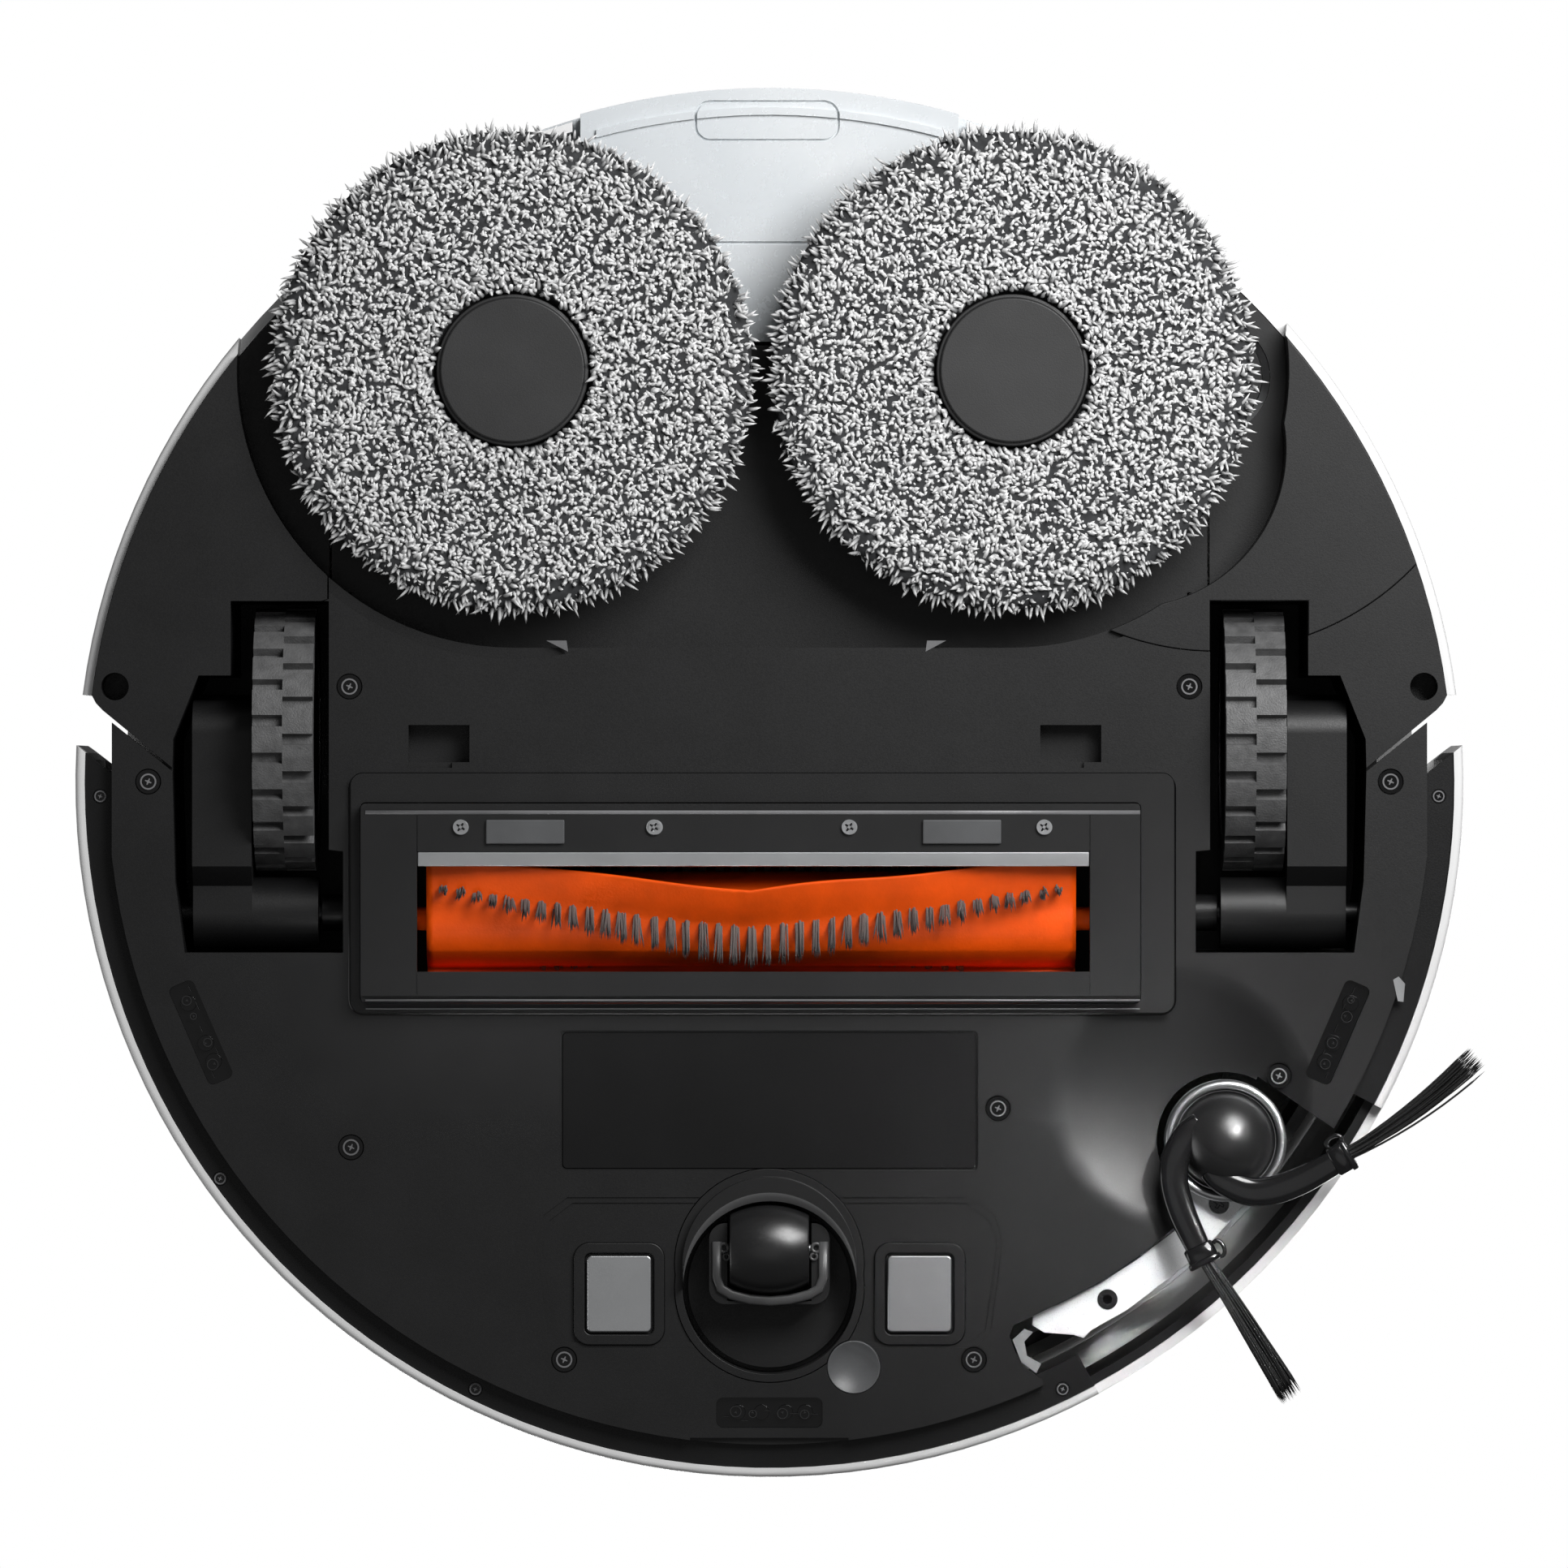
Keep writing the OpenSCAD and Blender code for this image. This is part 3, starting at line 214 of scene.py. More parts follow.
M = {
    "charcoal": moulded("charcoal_plastic", (0.0085, 0.0085, 0.0088), 0.42, depth=0.1, shine=0.42),
    "charcoal_dark": moulded("charcoal_dark", (0.0040, 0.0040, 0.0042), 0.6, depth=0.06, shine=0.22),
    "white": moulded("white_shell", (0.78, 0.78, 0.78), 0.3, depth=0.04, spread=0.02),
    "dark": moulded("dark_plastic", (0.0055, 0.0055, 0.0058), 0.38, shine=0.32),
    "gloss": moulded("black_gloss", (0.006, 0.006, 0.0065), 0.16, depth=0.02, coat=0.5),
    "grey": moulded("grey_plastic", (0.085, 0.087, 0.09), 0.4),
    "rubber": moulded(
        "tyre_rubber", (0.095, 0.095, 0.096), 0.5, grain=2200, depth=0.7, spread=0.25, blotch=300
    ),
    "steel": moulded(
        "bright_steel", (0.60, 0.61, 0.62), 0.34, grain=4000, depth=0.05, metal=1.0, spread=0.05
    ),
    "black_steel": moulded(
        "black_steel", (0.06, 0.06, 0.062), 0.28, grain=4000, depth=0.08, metal=0.9
    ),
    "lever": moulded(
        "lever_metal", (0.88, 0.89, 0.90), 0.3, grain=3000, depth=0.06, metal=0.12, spread=0.04
    ),
    "orange": moulded(
        "orange_rubber", (0.84, 0.085, 0.0005), 0.5, shine=0.2, grain=1500, depth=0.35,
        spread=0.12, blotch=90
    ),
    "satin": moulded("satin_black", (0.010, 0.010, 0.0104), 0.33, depth=0.04, shine=0.8),
    "cap": moulded("pad_cap", (0.020, 0.020, 0.0205), 0.5, depth=0.12, shine=0.5),
    "guide": moulded("light_guide", (0.30, 0.305, 0.31), 0.2, depth=0.03, coat=0.5),
    "optics": moulded("sensor_optics", (0.045, 0.045, 0.046), 0.2, grain=4000, depth=0.05, metal=0.6),
    # A darker grey for painted highlights: the caster well's half-moon and the fork's edge lip.
    "painted_highlight_dark": moulded("caster_collar_highlight", (0.060, 0.060, 0.061), 0.4, depth=0.1, shine=0.7),
    # Light grey standing in for highlights: painted highlight on edges, screw rims and small wedges.
    "painted_highlight": moulded("painted_highlight_grey", (0.16, 0.16, 0.165), 0.35, shine=0.6),
    # Black of the sensor windows, also used as painted shade in screw wells, recesses and the frame
    # gap.
    "window": moulded("sensor_black_and_painted_shade", (0.002, 0.002, 0.0022), 0.12, depth=0.01, coat=0.25, shine=0.3),
    "cell": moulded("battery_wrap", (0.02, 0.035, 0.06), 0.35),
    "tank": frosted("tank_plastic"),
}

LOOKS = {
    "charcoal": [
        "base_front", "base_rear", "right_arm_cover", "brush_bay", "brush_guard", "caster_socket",
        "contact_frames", "left_gearbox", "right_gearbox", "right_mop_arm", "caster_fork"
    ],
    "white": ["rear_shell", "deck", "top_lid", "bumper_skin", "turret_cap"],
    "dark": [
        "well_liners", "left_mop_gearbox", "lever_bracket", "suction_fan", "dust_bin",
        "brush_motor", "bumper_carrier", "turret_base", "laser_rotor", "left_hub", "right_hub"
    ],
    "cap": ["left_mop_plate", "right_mop_plate"],
    "satin": ["caster_wheel", "side_hub"],
    "grey": ["power_button", "home_button", "carpet_sensor", "left_latch", "right_latch"],
    "rubber": ["left_tyre", "right_tyre"],
    "steel": [
        "charging_contacts", "scraper_strip", "guard_screws", "side_ring", "caster_axle",
        "left_mop_carriage", "right_mop_carriage", "arm_pivot"
    ],
    "black_steel": ["base_screws", "bumper_screws", "lever_screw"],
    "lever": ["side_lever"],
    "window": ["bumper_window", "cliff_sensors"],
    "cell": ["battery"],
    "tank": ["rear_tank"],
}

# Edge widths in millimetres; a node that is not listed takes 0.3.
BEVEL = {
    "base_front": 0.35, "base_rear": 0.35, "right_arm_cover": 0.3, "brush_bay": 0.9, "brush_guard": 0.7,
    "left_tyre": 0.3, "right_tyre": 0.3, "caster_fork": 0.5, "caster_socket": 0.5, "side_lever": 0.35,
    "left_gearbox": 0.7, "right_gearbox": 0.7, "charging_contacts": 0.4, "contact_frames": 0.3,
    "left_latch": 0.5, "right_latch": 0.5, "scraper_strip": 0.3, "bumper_carrier": 0.25,
    "base_screws": 0.12, "bumper_screws": 0.1, "guard_screws": 0.12, "lever_screw": 0.12,
    "left_mop_plate": 0.5, "right_mop_plate": 0.5, "rear_tank": 0.6, "left_hub": 0.4, "right_hub": 0.4,
}


def dress(name, key):
    """Gives a CAD node its material, rounded edges and smooth shading."""
    obj = nodes[name]
    obj.data.materials.clear()
    obj.data.materials.append(M[key])
    for p in obj.data.polygons:
        p.material_index = 0
        p.use_smooth = True
    weld = obj.modifiers.new("weld", "WELD")
    weld.merge_threshold = 1e-6
    flat = obj.modifiers.new("flat", "DECIMATE")
    flat.decimate_type = "DISSOLVE"
    flat.angle_limit = math.radians(0.6)
    bevel = obj.modifiers.new("bevel", "BEVEL")
    bevel.width = BEVEL.get(name, 0.3) * MM
    bevel.segments = 2
    bevel.limit_method = "ANGLE"
    bevel.angle_limit = EDGE_ANGLE
    bevel.harden_normals = False
    bevel.use_clamp_overlap = True
    normals = obj.modifiers.new("normals", "WEIGHTED_NORMAL")
    normals.keep_sharp = True
    normals.weight = 80


make_camera()
make_world()
for key, names in LOOKS.items():
    for n in names:
        dress(n, key)

# ---------------------------------------------------------------- yarn and hair

SIDES = 5


def strands(name, mat, roots, dirs, lengths, radii, bends, rings=4, seed=1, tip=0.25):
    """One mesh of many tapered, bent strands. Arrays hold one row for each strand."""
    rng = np.random.default_rng(seed)
    n = len(roots)
    dirs = dirs / np.linalg.norm(dirs, axis=1, keepdims=True)
    helper = np.where(np.abs(dirs[:, 2:3]) < 0.9, [[0, 0, 1.0]], [[1.0, 0, 0]])
    u = np.cross(dirs, helper)
    u /= np.linalg.norm(u, axis=1, keepdims=True)
    v = np.cross(dirs, u)
    twist = rng.uniform(0, 2 * math.pi, n)
    verts = np.zeros((n, rings * SIDES + 1, 3))
    shade = np.zeros((n, rings * SIDES + 1))
    for k in range(rings):
        t = k / rings
        centre = roots + dirs * (lengths * t)[:, None] + bends * (lengths * t * t)[:, None]
        r = radii * (1 - (1 - tip) * t ** 1.6)
        for s in range(SIDES):
            a = twist + 2 * math.pi * s / SIDES
            around = u * np.cos(a)[:, None] + v * np.sin(a)[:, None]
            verts[:, k * SIDES + s] = centre + around * r[:, None]
        shade[:, k * SIDES:(k + 1) * SIDES] = t
    verts[:, -1] = roots + dirs * lengths[:, None] + bends * lengths[:, None]
    shade[:, -1] = 1
    quads = []
    for k in range(0, (rings - 1) * SIDES, SIDES):
        for s in range(SIDES):
            after = (s + 1) % SIDES
            quads.append([k + s, k + after, k + SIDES + after, k + SIDES + s])
    quads = np.array(quads)
    k = (rings - 1) * SIDES
    tris = np.array([[k + s, k + (s + 1) % SIDES, rings * SIDES] for s in range(SIDES)])
    step = rings * SIDES + 1
    base = (np.arange(n) * step)[:, None, None]
    faces = (quads[None] + base).reshape(-1, 4).tolist()
    faces += (tris[None] + base).reshape(-1, 3).tolist()
    mesh = bpy.data.meshes.new(name)
    mesh.from_pydata(verts.reshape(-1, 3).tolist(), [], faces)
    attribute = mesh.attributes.new("shade", "FLOAT", "POINT")
    attribute.data.foreach_set("value", shade.reshape(-1).astype(np.float32))
    mesh.materials.append(mat)
    mesh.polygons.foreach_set("use_smooth", [True] * len(mesh.polygons))
    mesh.update()
    obj = bpy.data.objects.new(name, mesh)
    scene.collection.objects.link(obj)
    return obj


def new_piece(name, verts, faces, mat, smooth=True):
    """An object from points and faces, with its faces turned outwards."""
    mesh = bpy.data.meshes.new(name)
    mesh.from_pydata([tuple(v) for v in verts], [], faces)
    mesh.validate()
    mesh.materials.append(mat)
    mesh.polygons.foreach_set("use_smooth", [smooth] * len(mesh.polygons))
    obj = bpy.data.objects.new(name, mesh)
    scene.collection.objects.link(obj)
    tree = bmesh.new()
    tree.from_mesh(mesh)
    bmesh.ops.recalc_face_normals(tree, faces=tree.faces)
    tree.to_mesh(mesh)
    tree.free()
    return obj


MOP = {"left": Vector((-0.0647, -0.104, 0)), "right": Vector((0.0612, -0.104, 0))}
PAD_IN, PAD_OUT = 0.0196, 0.0606
YARN_LOW = 0.0003


def pad_body(side, mat):
    """The crowned pad under the yarn: a closed ring with a quilted, uneven face."""
    rng = np.random.default_rng(5 if side == "left" else 6)
    around, profile = 180, []
    for r, z in [
        (PAD_IN, 8.9), (PAD_IN, 5.2), (PAD_IN + 0.0012, 3.6), (PAD_IN + 0.004, 2.9), (0.030, 2.6),
        (0.040, 2.5), (0.050, 2.6), (0.056, 3.0), (0.0590, 3.9), (PAD_OUT, 5.4), (0.0600, 7.2),
        (0.0580, 8.9),
    ]:
        profile.append((r, z * MM))
    verts, faces = [], []
    for i in range(around):
        a = 2 * math.pi * i / around
        for j, (r, z) in enumerate(profile):
            wave = 0.0003 * rng.uniform(-1, 1) if 1 < j < len(profile) - 1 else 0
            x = MOP[side].x + (r + wave) * math.cos(a)
            y = MOP[side].y + (r + wave) * math.sin(a)
            verts.append((x, y, z + wave))
    m = len(profile)
    for i in range(around):
        for j in range(m):
            a, b = i * m, ((i + 1) % around) * m
            faces.append((a + j, a + (j + 1) % m, b + (j + 1) % m, b + j))
    mesh = bpy.data.meshes.new(f"{side}_pad_body")
    mesh.from_pydata(verts, [], faces)
    mesh.materials.append(mat)
    mesh.polygons.foreach_set("use_smooth", [True] * len(mesh.polygons))
    obj = bpy.data.objects.new(f"{side}_pad_body", mesh)
    scene.collection.objects.link(obj)
    sub = obj.modifiers.new("sub", "SUBSURF")
    sub.levels = sub.render_levels = 1
    return obj


def pad_yarn(side, mat, seed):
    """The shaggy yarn of one pad, on its face and round its rim."""
    rng = np.random.default_rng(seed)
    spacing = 0.00116
    pts = []
    r = PAD_IN + 0.0006
    while r < 0.0606:
        count = int(2 * math.pi * r / spacing)
        phase = rng.uniform(0, 2 * math.pi)
        for i in range(count):
            around = phase + 2 * math.pi * i / count
            pts.append((r + rng.normal(0, 0.0004), around + rng.normal(0, 0.3 * spacing / r)))
        r += spacing * 0.92
    pts = np.array(pts)
    n = len(pts)
    rad, ang = np.clip(pts[:, 0], PAD_IN + 0.0003, 0.0607), pts[:, 1]
    out = np.stack([np.cos(ang), np.sin(ang), np.zeros(n)], 1)
    flow = rng.uniform(0, 2 * math.pi, n)
    side_way = np.stack([np.cos(flow), np.sin(flow), np.zeros(n)], 1)
    edge = np.clip((rad - 0.054) / 0.0066, 0, 1)[:, None]
    inner = np.clip((0.0235 - rad) / 0.004, 0, 1)[:, None]
    lie = rng.uniform(0.2, 0.95, n)[:, None]
    down = np.array([[0, 0, -1.0]])
    dirs = side_way * lie + out * edge * 1.5 + out * inner * 0.7 + down * (0.85 - 0.45 * edge)
    z = 0.0036 + edge[:, 0] * rng.uniform(-0.0006, 0.0040, n)
    roots = np.stack([MOP[side].x + rad * np.cos(ang), MOP[side].y + rad * np.sin(ang), z], 1)
    lengths = rng.uniform(0.0021, 0.0032, n)
    lengths += edge[:, 0] * rng.uniform(-0.0004, 0.0003, n)
    radii = rng.uniform(0.00050, 0.00074, n) * (1 - 0.3 * edge[:, 0])
    bends = rng.normal(0, 0.30, (n, 3))
    bends[:, 2] = rng.uniform(-0.1, 0.35, n)
    obj = strands(
        f"{side}_pad_yarn", mat, roots, dirs, lengths, radii, bends, rings=3, seed=seed, tip=0.6
    )
    co = np.array([v.co for v in obj.data.vertices])
    co[:, 2] = np.maximum(co[:, 2], YARN_LOW)
    obj.data.vertices.foreach_set("co", co.reshape(-1))
    return obj


# The yarn's near black roots are painted shade between the tufts.
M["yarn"] = yarn("mop_yarn_with_painted_shade", (0.045, 0.047, 0.050), (1.0, 1.0, 1.0))
# The pad under the yarn is near black so that the gaps between tufts read as painted shade.
M["pad"] = moulded("pad_base_painted_shade", (0.030, 0.031, 0.033), 0.9, grain=700, depth=0.6, spread=0.3, blotch=500)

for side, seed in (("left", 11), ("right", 12)):
    body = pad_body(side, M["pad"])
    fluff = pad_yarn(side, M["yarn"], seed)
    for o in (body, fluff):
        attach(o, f"{side}_mop")
        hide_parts(f"{side}_mop_pad")

# ---------------------------------------------------------------- main brush

M["hair"] = yarn("brush_hair", (0.15, 0.125, 0.115), (0.010, 0.009, 0.009))
BRUSH = Vector((0, 0.0343, 0.0236))
BRUSH_X = (-0.0866, 0.0774)
JOURNAL_X = (-0.0974, 0.0904)
CORE_R, RIM_R = 0.012, 0.0203
# Degrees: how far the blades trail at the ends, and how far the hair leans.
TWIST, HAIR_LEAN = 28, 62
ROWS = (0, 120, 240)
TUFTS, TUFT_HAIRS = 39, 16
TUFT_R, TIP_R = 0.00095, 0.0204


def brush_point(x, r, degrees):
    """A point at that many degrees from straight down, turned towards the front."""
    a = math.radians(degrees)
    return (x, BRUSH.y + r * math.sin(a), BRUSH.z - r * math.cos(a))


def roller_outline():
    """The sleeve's end view as (radius, degrees): three swept blades on a round core."""
    points = []
    for lobe in ROWS:
        for i in range(13):
            points.append((CORE_R, lobe - 101 + 92 * i / 12))
        blade = [(0.0126, -2.5), (0.0140, -7), (0.0160, -13.2), (0.0182, -18.4), (0.0198, -21.4),
                 (0.0203, -21.2), (0.0204, -20.0), (0.0200, -19.0), (0.0183, -14.6), (0.0162, -8),
                 (0.0143, -1.6), (0.0130, 4.5), (0.0123, 10)]
        points += [(r, lobe + d) for r, d in blade]
    return points


def make_roller():
    """The orange sleeve, swept along X with its blades trailing at the ends, and two journals."""
    profile = roller_outline()
    stations, m = 91, len(profile)
    middle, half = sum(BRUSH_X) / 2, (BRUSH_X[1] - BRUSH_X[0]) / 2
    verts, faces = [], []
    for i in range(stations):
        u = 2 * i / (stations - 1) - 1
        bow = TWIST * abs(u) + 1.2 * math.sin(9 * u)
        for r, d in profile:
            height = (r - CORE_R) / (RIM_R - CORE_R)
            wave = 1 + 0.006 * math.sin(14 * u + math.radians(3 * d)) * height
            verts.append(brush_point(middle + half * u, r * wave, d - bow))
    for i in range(stations - 1):
        for j in range(m):
            k = (j + 1) % m
            faces.append((i * m + j, i * m + k, (i + 1) * m + k, (i + 1) * m + j))
    faces.append(tuple(range(m)))
    faces.append(tuple(reversed(range((stations - 1) * m, stations * m))))
    for x0, x1 in (
        (JOURNAL_X[0], BRUSH_X[0] + 0.001), (BRUSH_X[1] - 0.001, JOURNAL_X[1])
    ):
        base = len(verts)
        for x, r in ((x0, 0.0026), (x0 + 0.0004, 0.003), (x1, 0.003)):
            for j in range(24):
                verts.append(brush_point(x, r, 15 * j))
        for k in (0, 24):
            for j in range(24):
                n = (j + 1) % 24
                faces.append((base + k + j, base + k + n, base + k + 24 + n, base + k + 24 + j))
        faces.append(tuple(base + j for j in range(24)))
        faces.append(tuple(base + 48 + j for j in reversed(range(24))))
    return new_piece("roller_sleeve", verts, faces, M["orange"])


def make_brush_hair():
    """Three rows of hair tufts; the two rows at the back stop short of the ends."""
    rng = np.random.default_rng(31)
    middle, half = sum(BRUSH_X) / 2, (BRUSH_X[1] - BRUSH_X[0] - 0.009) / 2
    lean = math.radians(HAIR_LEAN)
    reach = math.sqrt(TIP_R ** 2 - (CORE_R * math.sin(lean)) ** 2) - CORE_R * math.cos(lean)
    roots, dirs, lengths = [], [], []
    for row in ROWS:
        for i in range(TUFTS):
            u = 2 * i / (TUFTS - 1) - 1
            d = row + 7 - 58 * abs(u) ** 1.15
            if row and abs(u) > 0.72:
                continue
            root = Vector(brush_point(middle + half * u, CORE_R - 0.0006, d))
            a = math.radians(d + HAIR_LEAN)
            way = Vector((0, math.sin(a), -math.cos(a)))
            across = Vector((1, 0, 0)).cross(way)
            for _ in range(TUFT_HAIRS):
                t = rng.uniform(0, 2 * math.pi)
                r = TUFT_R * math.sqrt(rng.uniform(0.05, 1))
                off = Vector((1, 0, 0)) * math.cos(t) * r + across * math.sin(t) * r
                roots.append(root + off)
                splay = Vector((1, 0, 0)) * rng.normal(0, 0.035)
                splay += across * rng.normal(0, 0.035)
                dirs.append(way + splay)
                lengths.append(reach + 0.0004 - rng.uniform(0, 0.0007))
    n = len(roots)
    radii = rng.uniform(0.00022, 0.00030, n)
    bends = rng.normal(0, 0.02, (n, 3))
    return strands(
        "brush_hair", M["hair"], np.array(roots), np.array(dirs), np.array(lengths), radii, bends,
        seed=32, tip=0.7
    )


roller = make_roller()
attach(roller, "main_brush")
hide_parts("brush_roller")
brush_hair = make_brush_hair()
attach(brush_hair, "main_brush")
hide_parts("brush_tufts")

# ---------------------------------------------------------------- side brush

HUB = Vector((0.1152, 0.0903, 0))
ARM_PATH = [
    (-6.5, -4.4, 6.9), (-9.8, -1.6, 6.4), (-12.9, 4.4, 6.1), (-13.2, 10.6, 5.6),
    (-11.4, 17.4, 4.9), (-8.7, 23.6, 4.2), (-6.0, 29.2, 3.6),
]
# Each bundle's letter, with its arm's turn about the hub in degrees.
BUNDLES = {"a": 0.0, "b": -94.5}
HAIRS = 46


def spline(points, steps):
    """Catmull-Rom points through the given ones."""
    pts = [Vector(p) for p in points]
    pts = [2 * pts[0] - pts[1], *pts, 2 * pts[-1] - pts[-2]]
    out = []
    for i in range(1, len(pts) - 2):
        for k in range(steps):
            t = k / steps
            a, b, c, d = pts[i - 1:i + 3]
            square, cube = 2 * a - 5 * b + 4 * c - d, 3 * b - a - 3 * c + d
            out.append(0.5 * (2 * b + (c - a) * t + square * t * t + cube * t ** 3))
    out.append(pts[-2])
    return out


def tube(path, widths, heights, sides=20):
    """A swept tube with an oval section that lies flat. Returns its points and faces."""
    power = 0.75
    verts, faces = [], []
    for i, p in enumerate(path):
        ahead = (path[min(i + 1, len(path) - 1)] - path[max(i - 1, 0)]).normalized()
        across = Vector((0, 0, 1)).cross(ahead).normalized()
        up = ahead.cross(across)
        for j in range(sides):
            a = 2 * math.pi * j / sides
            c, s = math.cos(a), math.sin(a)
            x = math.copysign(abs(c) ** power, c) * widths[i]
            y = math.copysign(abs(s) ** power, s) * heights[i]
            verts.append(p + across * x + up * y)
    for i in range(len(path) - 1):
        for j in range(sides):
            k = (j + 1) % sides
            faces.append((i * sides + j, i * sides + k, (i + 1) * sides + k, (i + 1) * sides + j))
    faces.append(tuple(range(sides)))
    faces.append(tuple(reversed(range((len(path) - 1) * sides, len(path) * sides))))
    return verts, faces


def joined(parts):
    """Several (points, faces) pairs as one."""
    verts, faces = [], []
    for v, f in parts:
        base = len(verts)
        verts += v
        faces += [tuple(base + i for i in face) for face in f]
    return verts, faces


def arm_parts():
    """One arm and its clip, drawn round the hub in millimetres."""
    path = spline(ARM_PATH, 8)
    n = len(path)
    widths = [3.3 + 0.5 * math.sin(math.pi * i / (n - 1)) - 0.3 * i / (n - 1) for i in range(n)]
    heights = [2.2 - 0.7 * i / (n - 1) for i in range(n)]
    arm = tube(path, widths, heights)
    # The clip at the arm's end: a flat sleeve with a raised lip, and an open loop beside it.
    end, before = path[-1], path[-4]
    way = (end - before).normalized()
    across = Vector((0, 0, 1)).cross(way).normalized()
    sleeve = [end - way * 3.4, end - way * 3.0, end + way * 0.6, end + way * 1.0]
    lip = [end + way * 0.2, end + way * 0.5, end + way * 1.6, end + way * 1.9]
    loop_mid = end - across * 4.6 - way * 0.4
    turns = np.linspace(-0.6, math.pi + 0.6, 15)
    loop = [loop_mid + way * 2.1 * math.cos(t) - across * 1.3 * math.sin(t) for t in turns]
    return [
        arm,
        tube(sleeve, [3.5, 3.9, 3.9, 3.6], [1.5, 1.85, 1.85, 1.6]),
        tube(lip, [4.0, 4.4, 4.4, 4.0], [1.7, 2.1, 2.1, 1.7]),
        tube(loop, [0.55] * len(loop), [0.7] * len(loop), 10),
    ]


def make_arms():
    """The arm, once for each bundle."""
    verts, faces = joined(arm_parts())
    arms = []
    for degrees in BUNDLES.values():
        turn = Matrix.Rotation(math.radians(degrees), 3, "Z")
        arms.append(([HUB + (turn @ v) * MM for v in verts], faces))
    return new_piece("side_brush_arms", *joined(arms), M["gloss"])


def make_bundle(name, degrees, bow, seed):
    """A flared bunch of long hairs from the end of an arm."""
    rng = np.random.default_rng(seed)
    turn = Matrix.Rotation(math.radians(degrees), 3, "Z")
    start, finish = Vector((-5.6, 29.6, 3.5)), Vector((16.4, 64.6, 2.6))
    way = (finish - start).normalized()
    across = Vector((0, 0, 1)).cross(way).normalized()
    roots, dirs, lengths, bends = [], [], [], []
    for _ in range(HAIRS):
        s = rng.uniform(-1, 1)
        h = rng.uniform(-1, 1)
        root = start + across * (s * 1.5) + Vector((0, 0, h * 0.55))
        tip = finish + across * (s * 3.3 + rng.normal(0, 0.45))
        tip += Vector((0, 0, h * 0.7 + rng.normal(0, 0.2)))
        tip += way * (rng.normal(0, 0.35) - 0.5 * abs(s))
        chord = tip - root
        length = chord.length
        bend = across * (bow + rng.normal(0, 0.02))
        way_out = chord / length - bend
        roots.append(HUB + (turn @ root) * MM)
        dirs.append(turn @ way_out)
        lengths.append(length * MM)
        bends.append(turn @ bend)
    dirs = np.array(dirs)
    scale = np.linalg.norm(dirs, axis=1)
    radii = rng.uniform(0.00026, 0.00036, HAIRS)
    return strands(
        name, M["bristle"], np.array(roots), dirs, np.array(lengths) * scale, radii,
        np.array(bends) / scale[:, None], rings=9, seed=seed, tip=1.0
    )


M["bristle"] = moulded("side_bristle", (0.012, 0.012, 0.012), 0.3, grain=1800, coat=0.4)
arms = make_arms()
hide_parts("side_arms")
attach(arms, "side_brush")
for letter, bow, seed in (("a", 0.02, 41), ("b", -0.16, 42)):
    bundle = make_bundle(f"side_bristles_{letter}", BUNDLES[letter], bow, seed)
    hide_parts("side_bristles")
    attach(bundle, "side_brush")

# ---------------------------------------------------------------- small pieces


def round_corners(corners, radius, inset=0.0):
    """Points round a rounded rectangle (x0, y0, x1, y1), seven for each corner."""
    x0, y0, x1, y1 = corners
    points = []
    for cx, cy, a0 in (
        (x1 - radius, y1 - radius, 0), (x0 + radius, y1 - radius, 90),
        (x0 + radius, y0 + radius, 180), (x1 - radius, y0 + radius, 270)
    ):
        for k in range(7):
            a = math.radians(a0 + 15 * k)
            points.append((cx + (radius - inset) * math.cos(a), cy + (radius - inset) * math.sin(a)))
    return points


def plate(name, corners, radius, z_low, z_high, mat, chamfer=0.0002):
    """A thin plate with rounded corners and an eased lower edge."""
    verts, faces = [], []
    for z, inset in ((z_low, chamfer), (z_low + chamfer, 0.0), (z_high, 0.0)):
        verts += [(x, y, z) for x, y in round_corners(corners, radius, inset)]
    m = len(verts) // 3
    for i in range(2):
        for j in range(m):
            k = (j + 1) % m
            faces.append((i * m + j, i * m + k, (i + 1) * m + k, (i + 1) * m + j))
    faces.append(tuple(range(m)))
    faces.append(tuple(reversed(range(2 * m, 3 * m))))
    return new_piece(name, verts, faces, mat, smooth=False)


def added(obj, body):
    """Lets a new piece ride a body."""
    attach(obj, body)


def ring(centre, r_out, r_in, z_low, z_high, sides=48):
    """A flat ring as points and faces, in metres."""
    verts, faces = [], []
    for r, z in ((r_out, z_low), (r_out, z_high), (r_in, z_high), (r_in, z_low)):
        verts += [(centre[0] + r * math.cos(2 * math.pi * j / sides),
                   centre[1] + r * math.sin(2 * math.pi * j / sides), z) for j in range(sides)]
    for i in range(4):
        for j in range(sides):
            k, n = (j + 1) % sides, (i + 1) % 4
            faces.append((i * sides + j, i * sides + k, n * sides + k, n * sides + j))
    return verts, faces


def star(centre, r, inner, z_low, z_high, lobes=4, turn=0.0):
    """A lobed shape as points and faces. In black it is painted shade for a driver recess: a dark plug
    that stands just proud of the head.
    """
    verts, faces, m = [], [], lobes * 8
    for z in (z_low, z_high):
        for j in range(m):
            a = 2 * math.pi * j / m + turn
            s = inner + (r - inner) * max(0, math.cos(lobes * (a - turn))) ** 0.7
            verts.append((centre[0] + s * math.cos(a), centre[1] + s * math.sin(a), z))
    for j in range(m):
        k = (j + 1) % m
        faces.append((j, k, m + k, m + j))
    faces.append(tuple(range(m)))
    faces.append(tuple(reversed(range(m, 2 * m))))
    return verts, faces


label = plate(
    "blank_label", (-0.0523, 0.0629, 0.0521, 0.0973), 0.0012, 0.01145, 0.0118, M["charcoal_dark"]
)
added(label, "chassis")
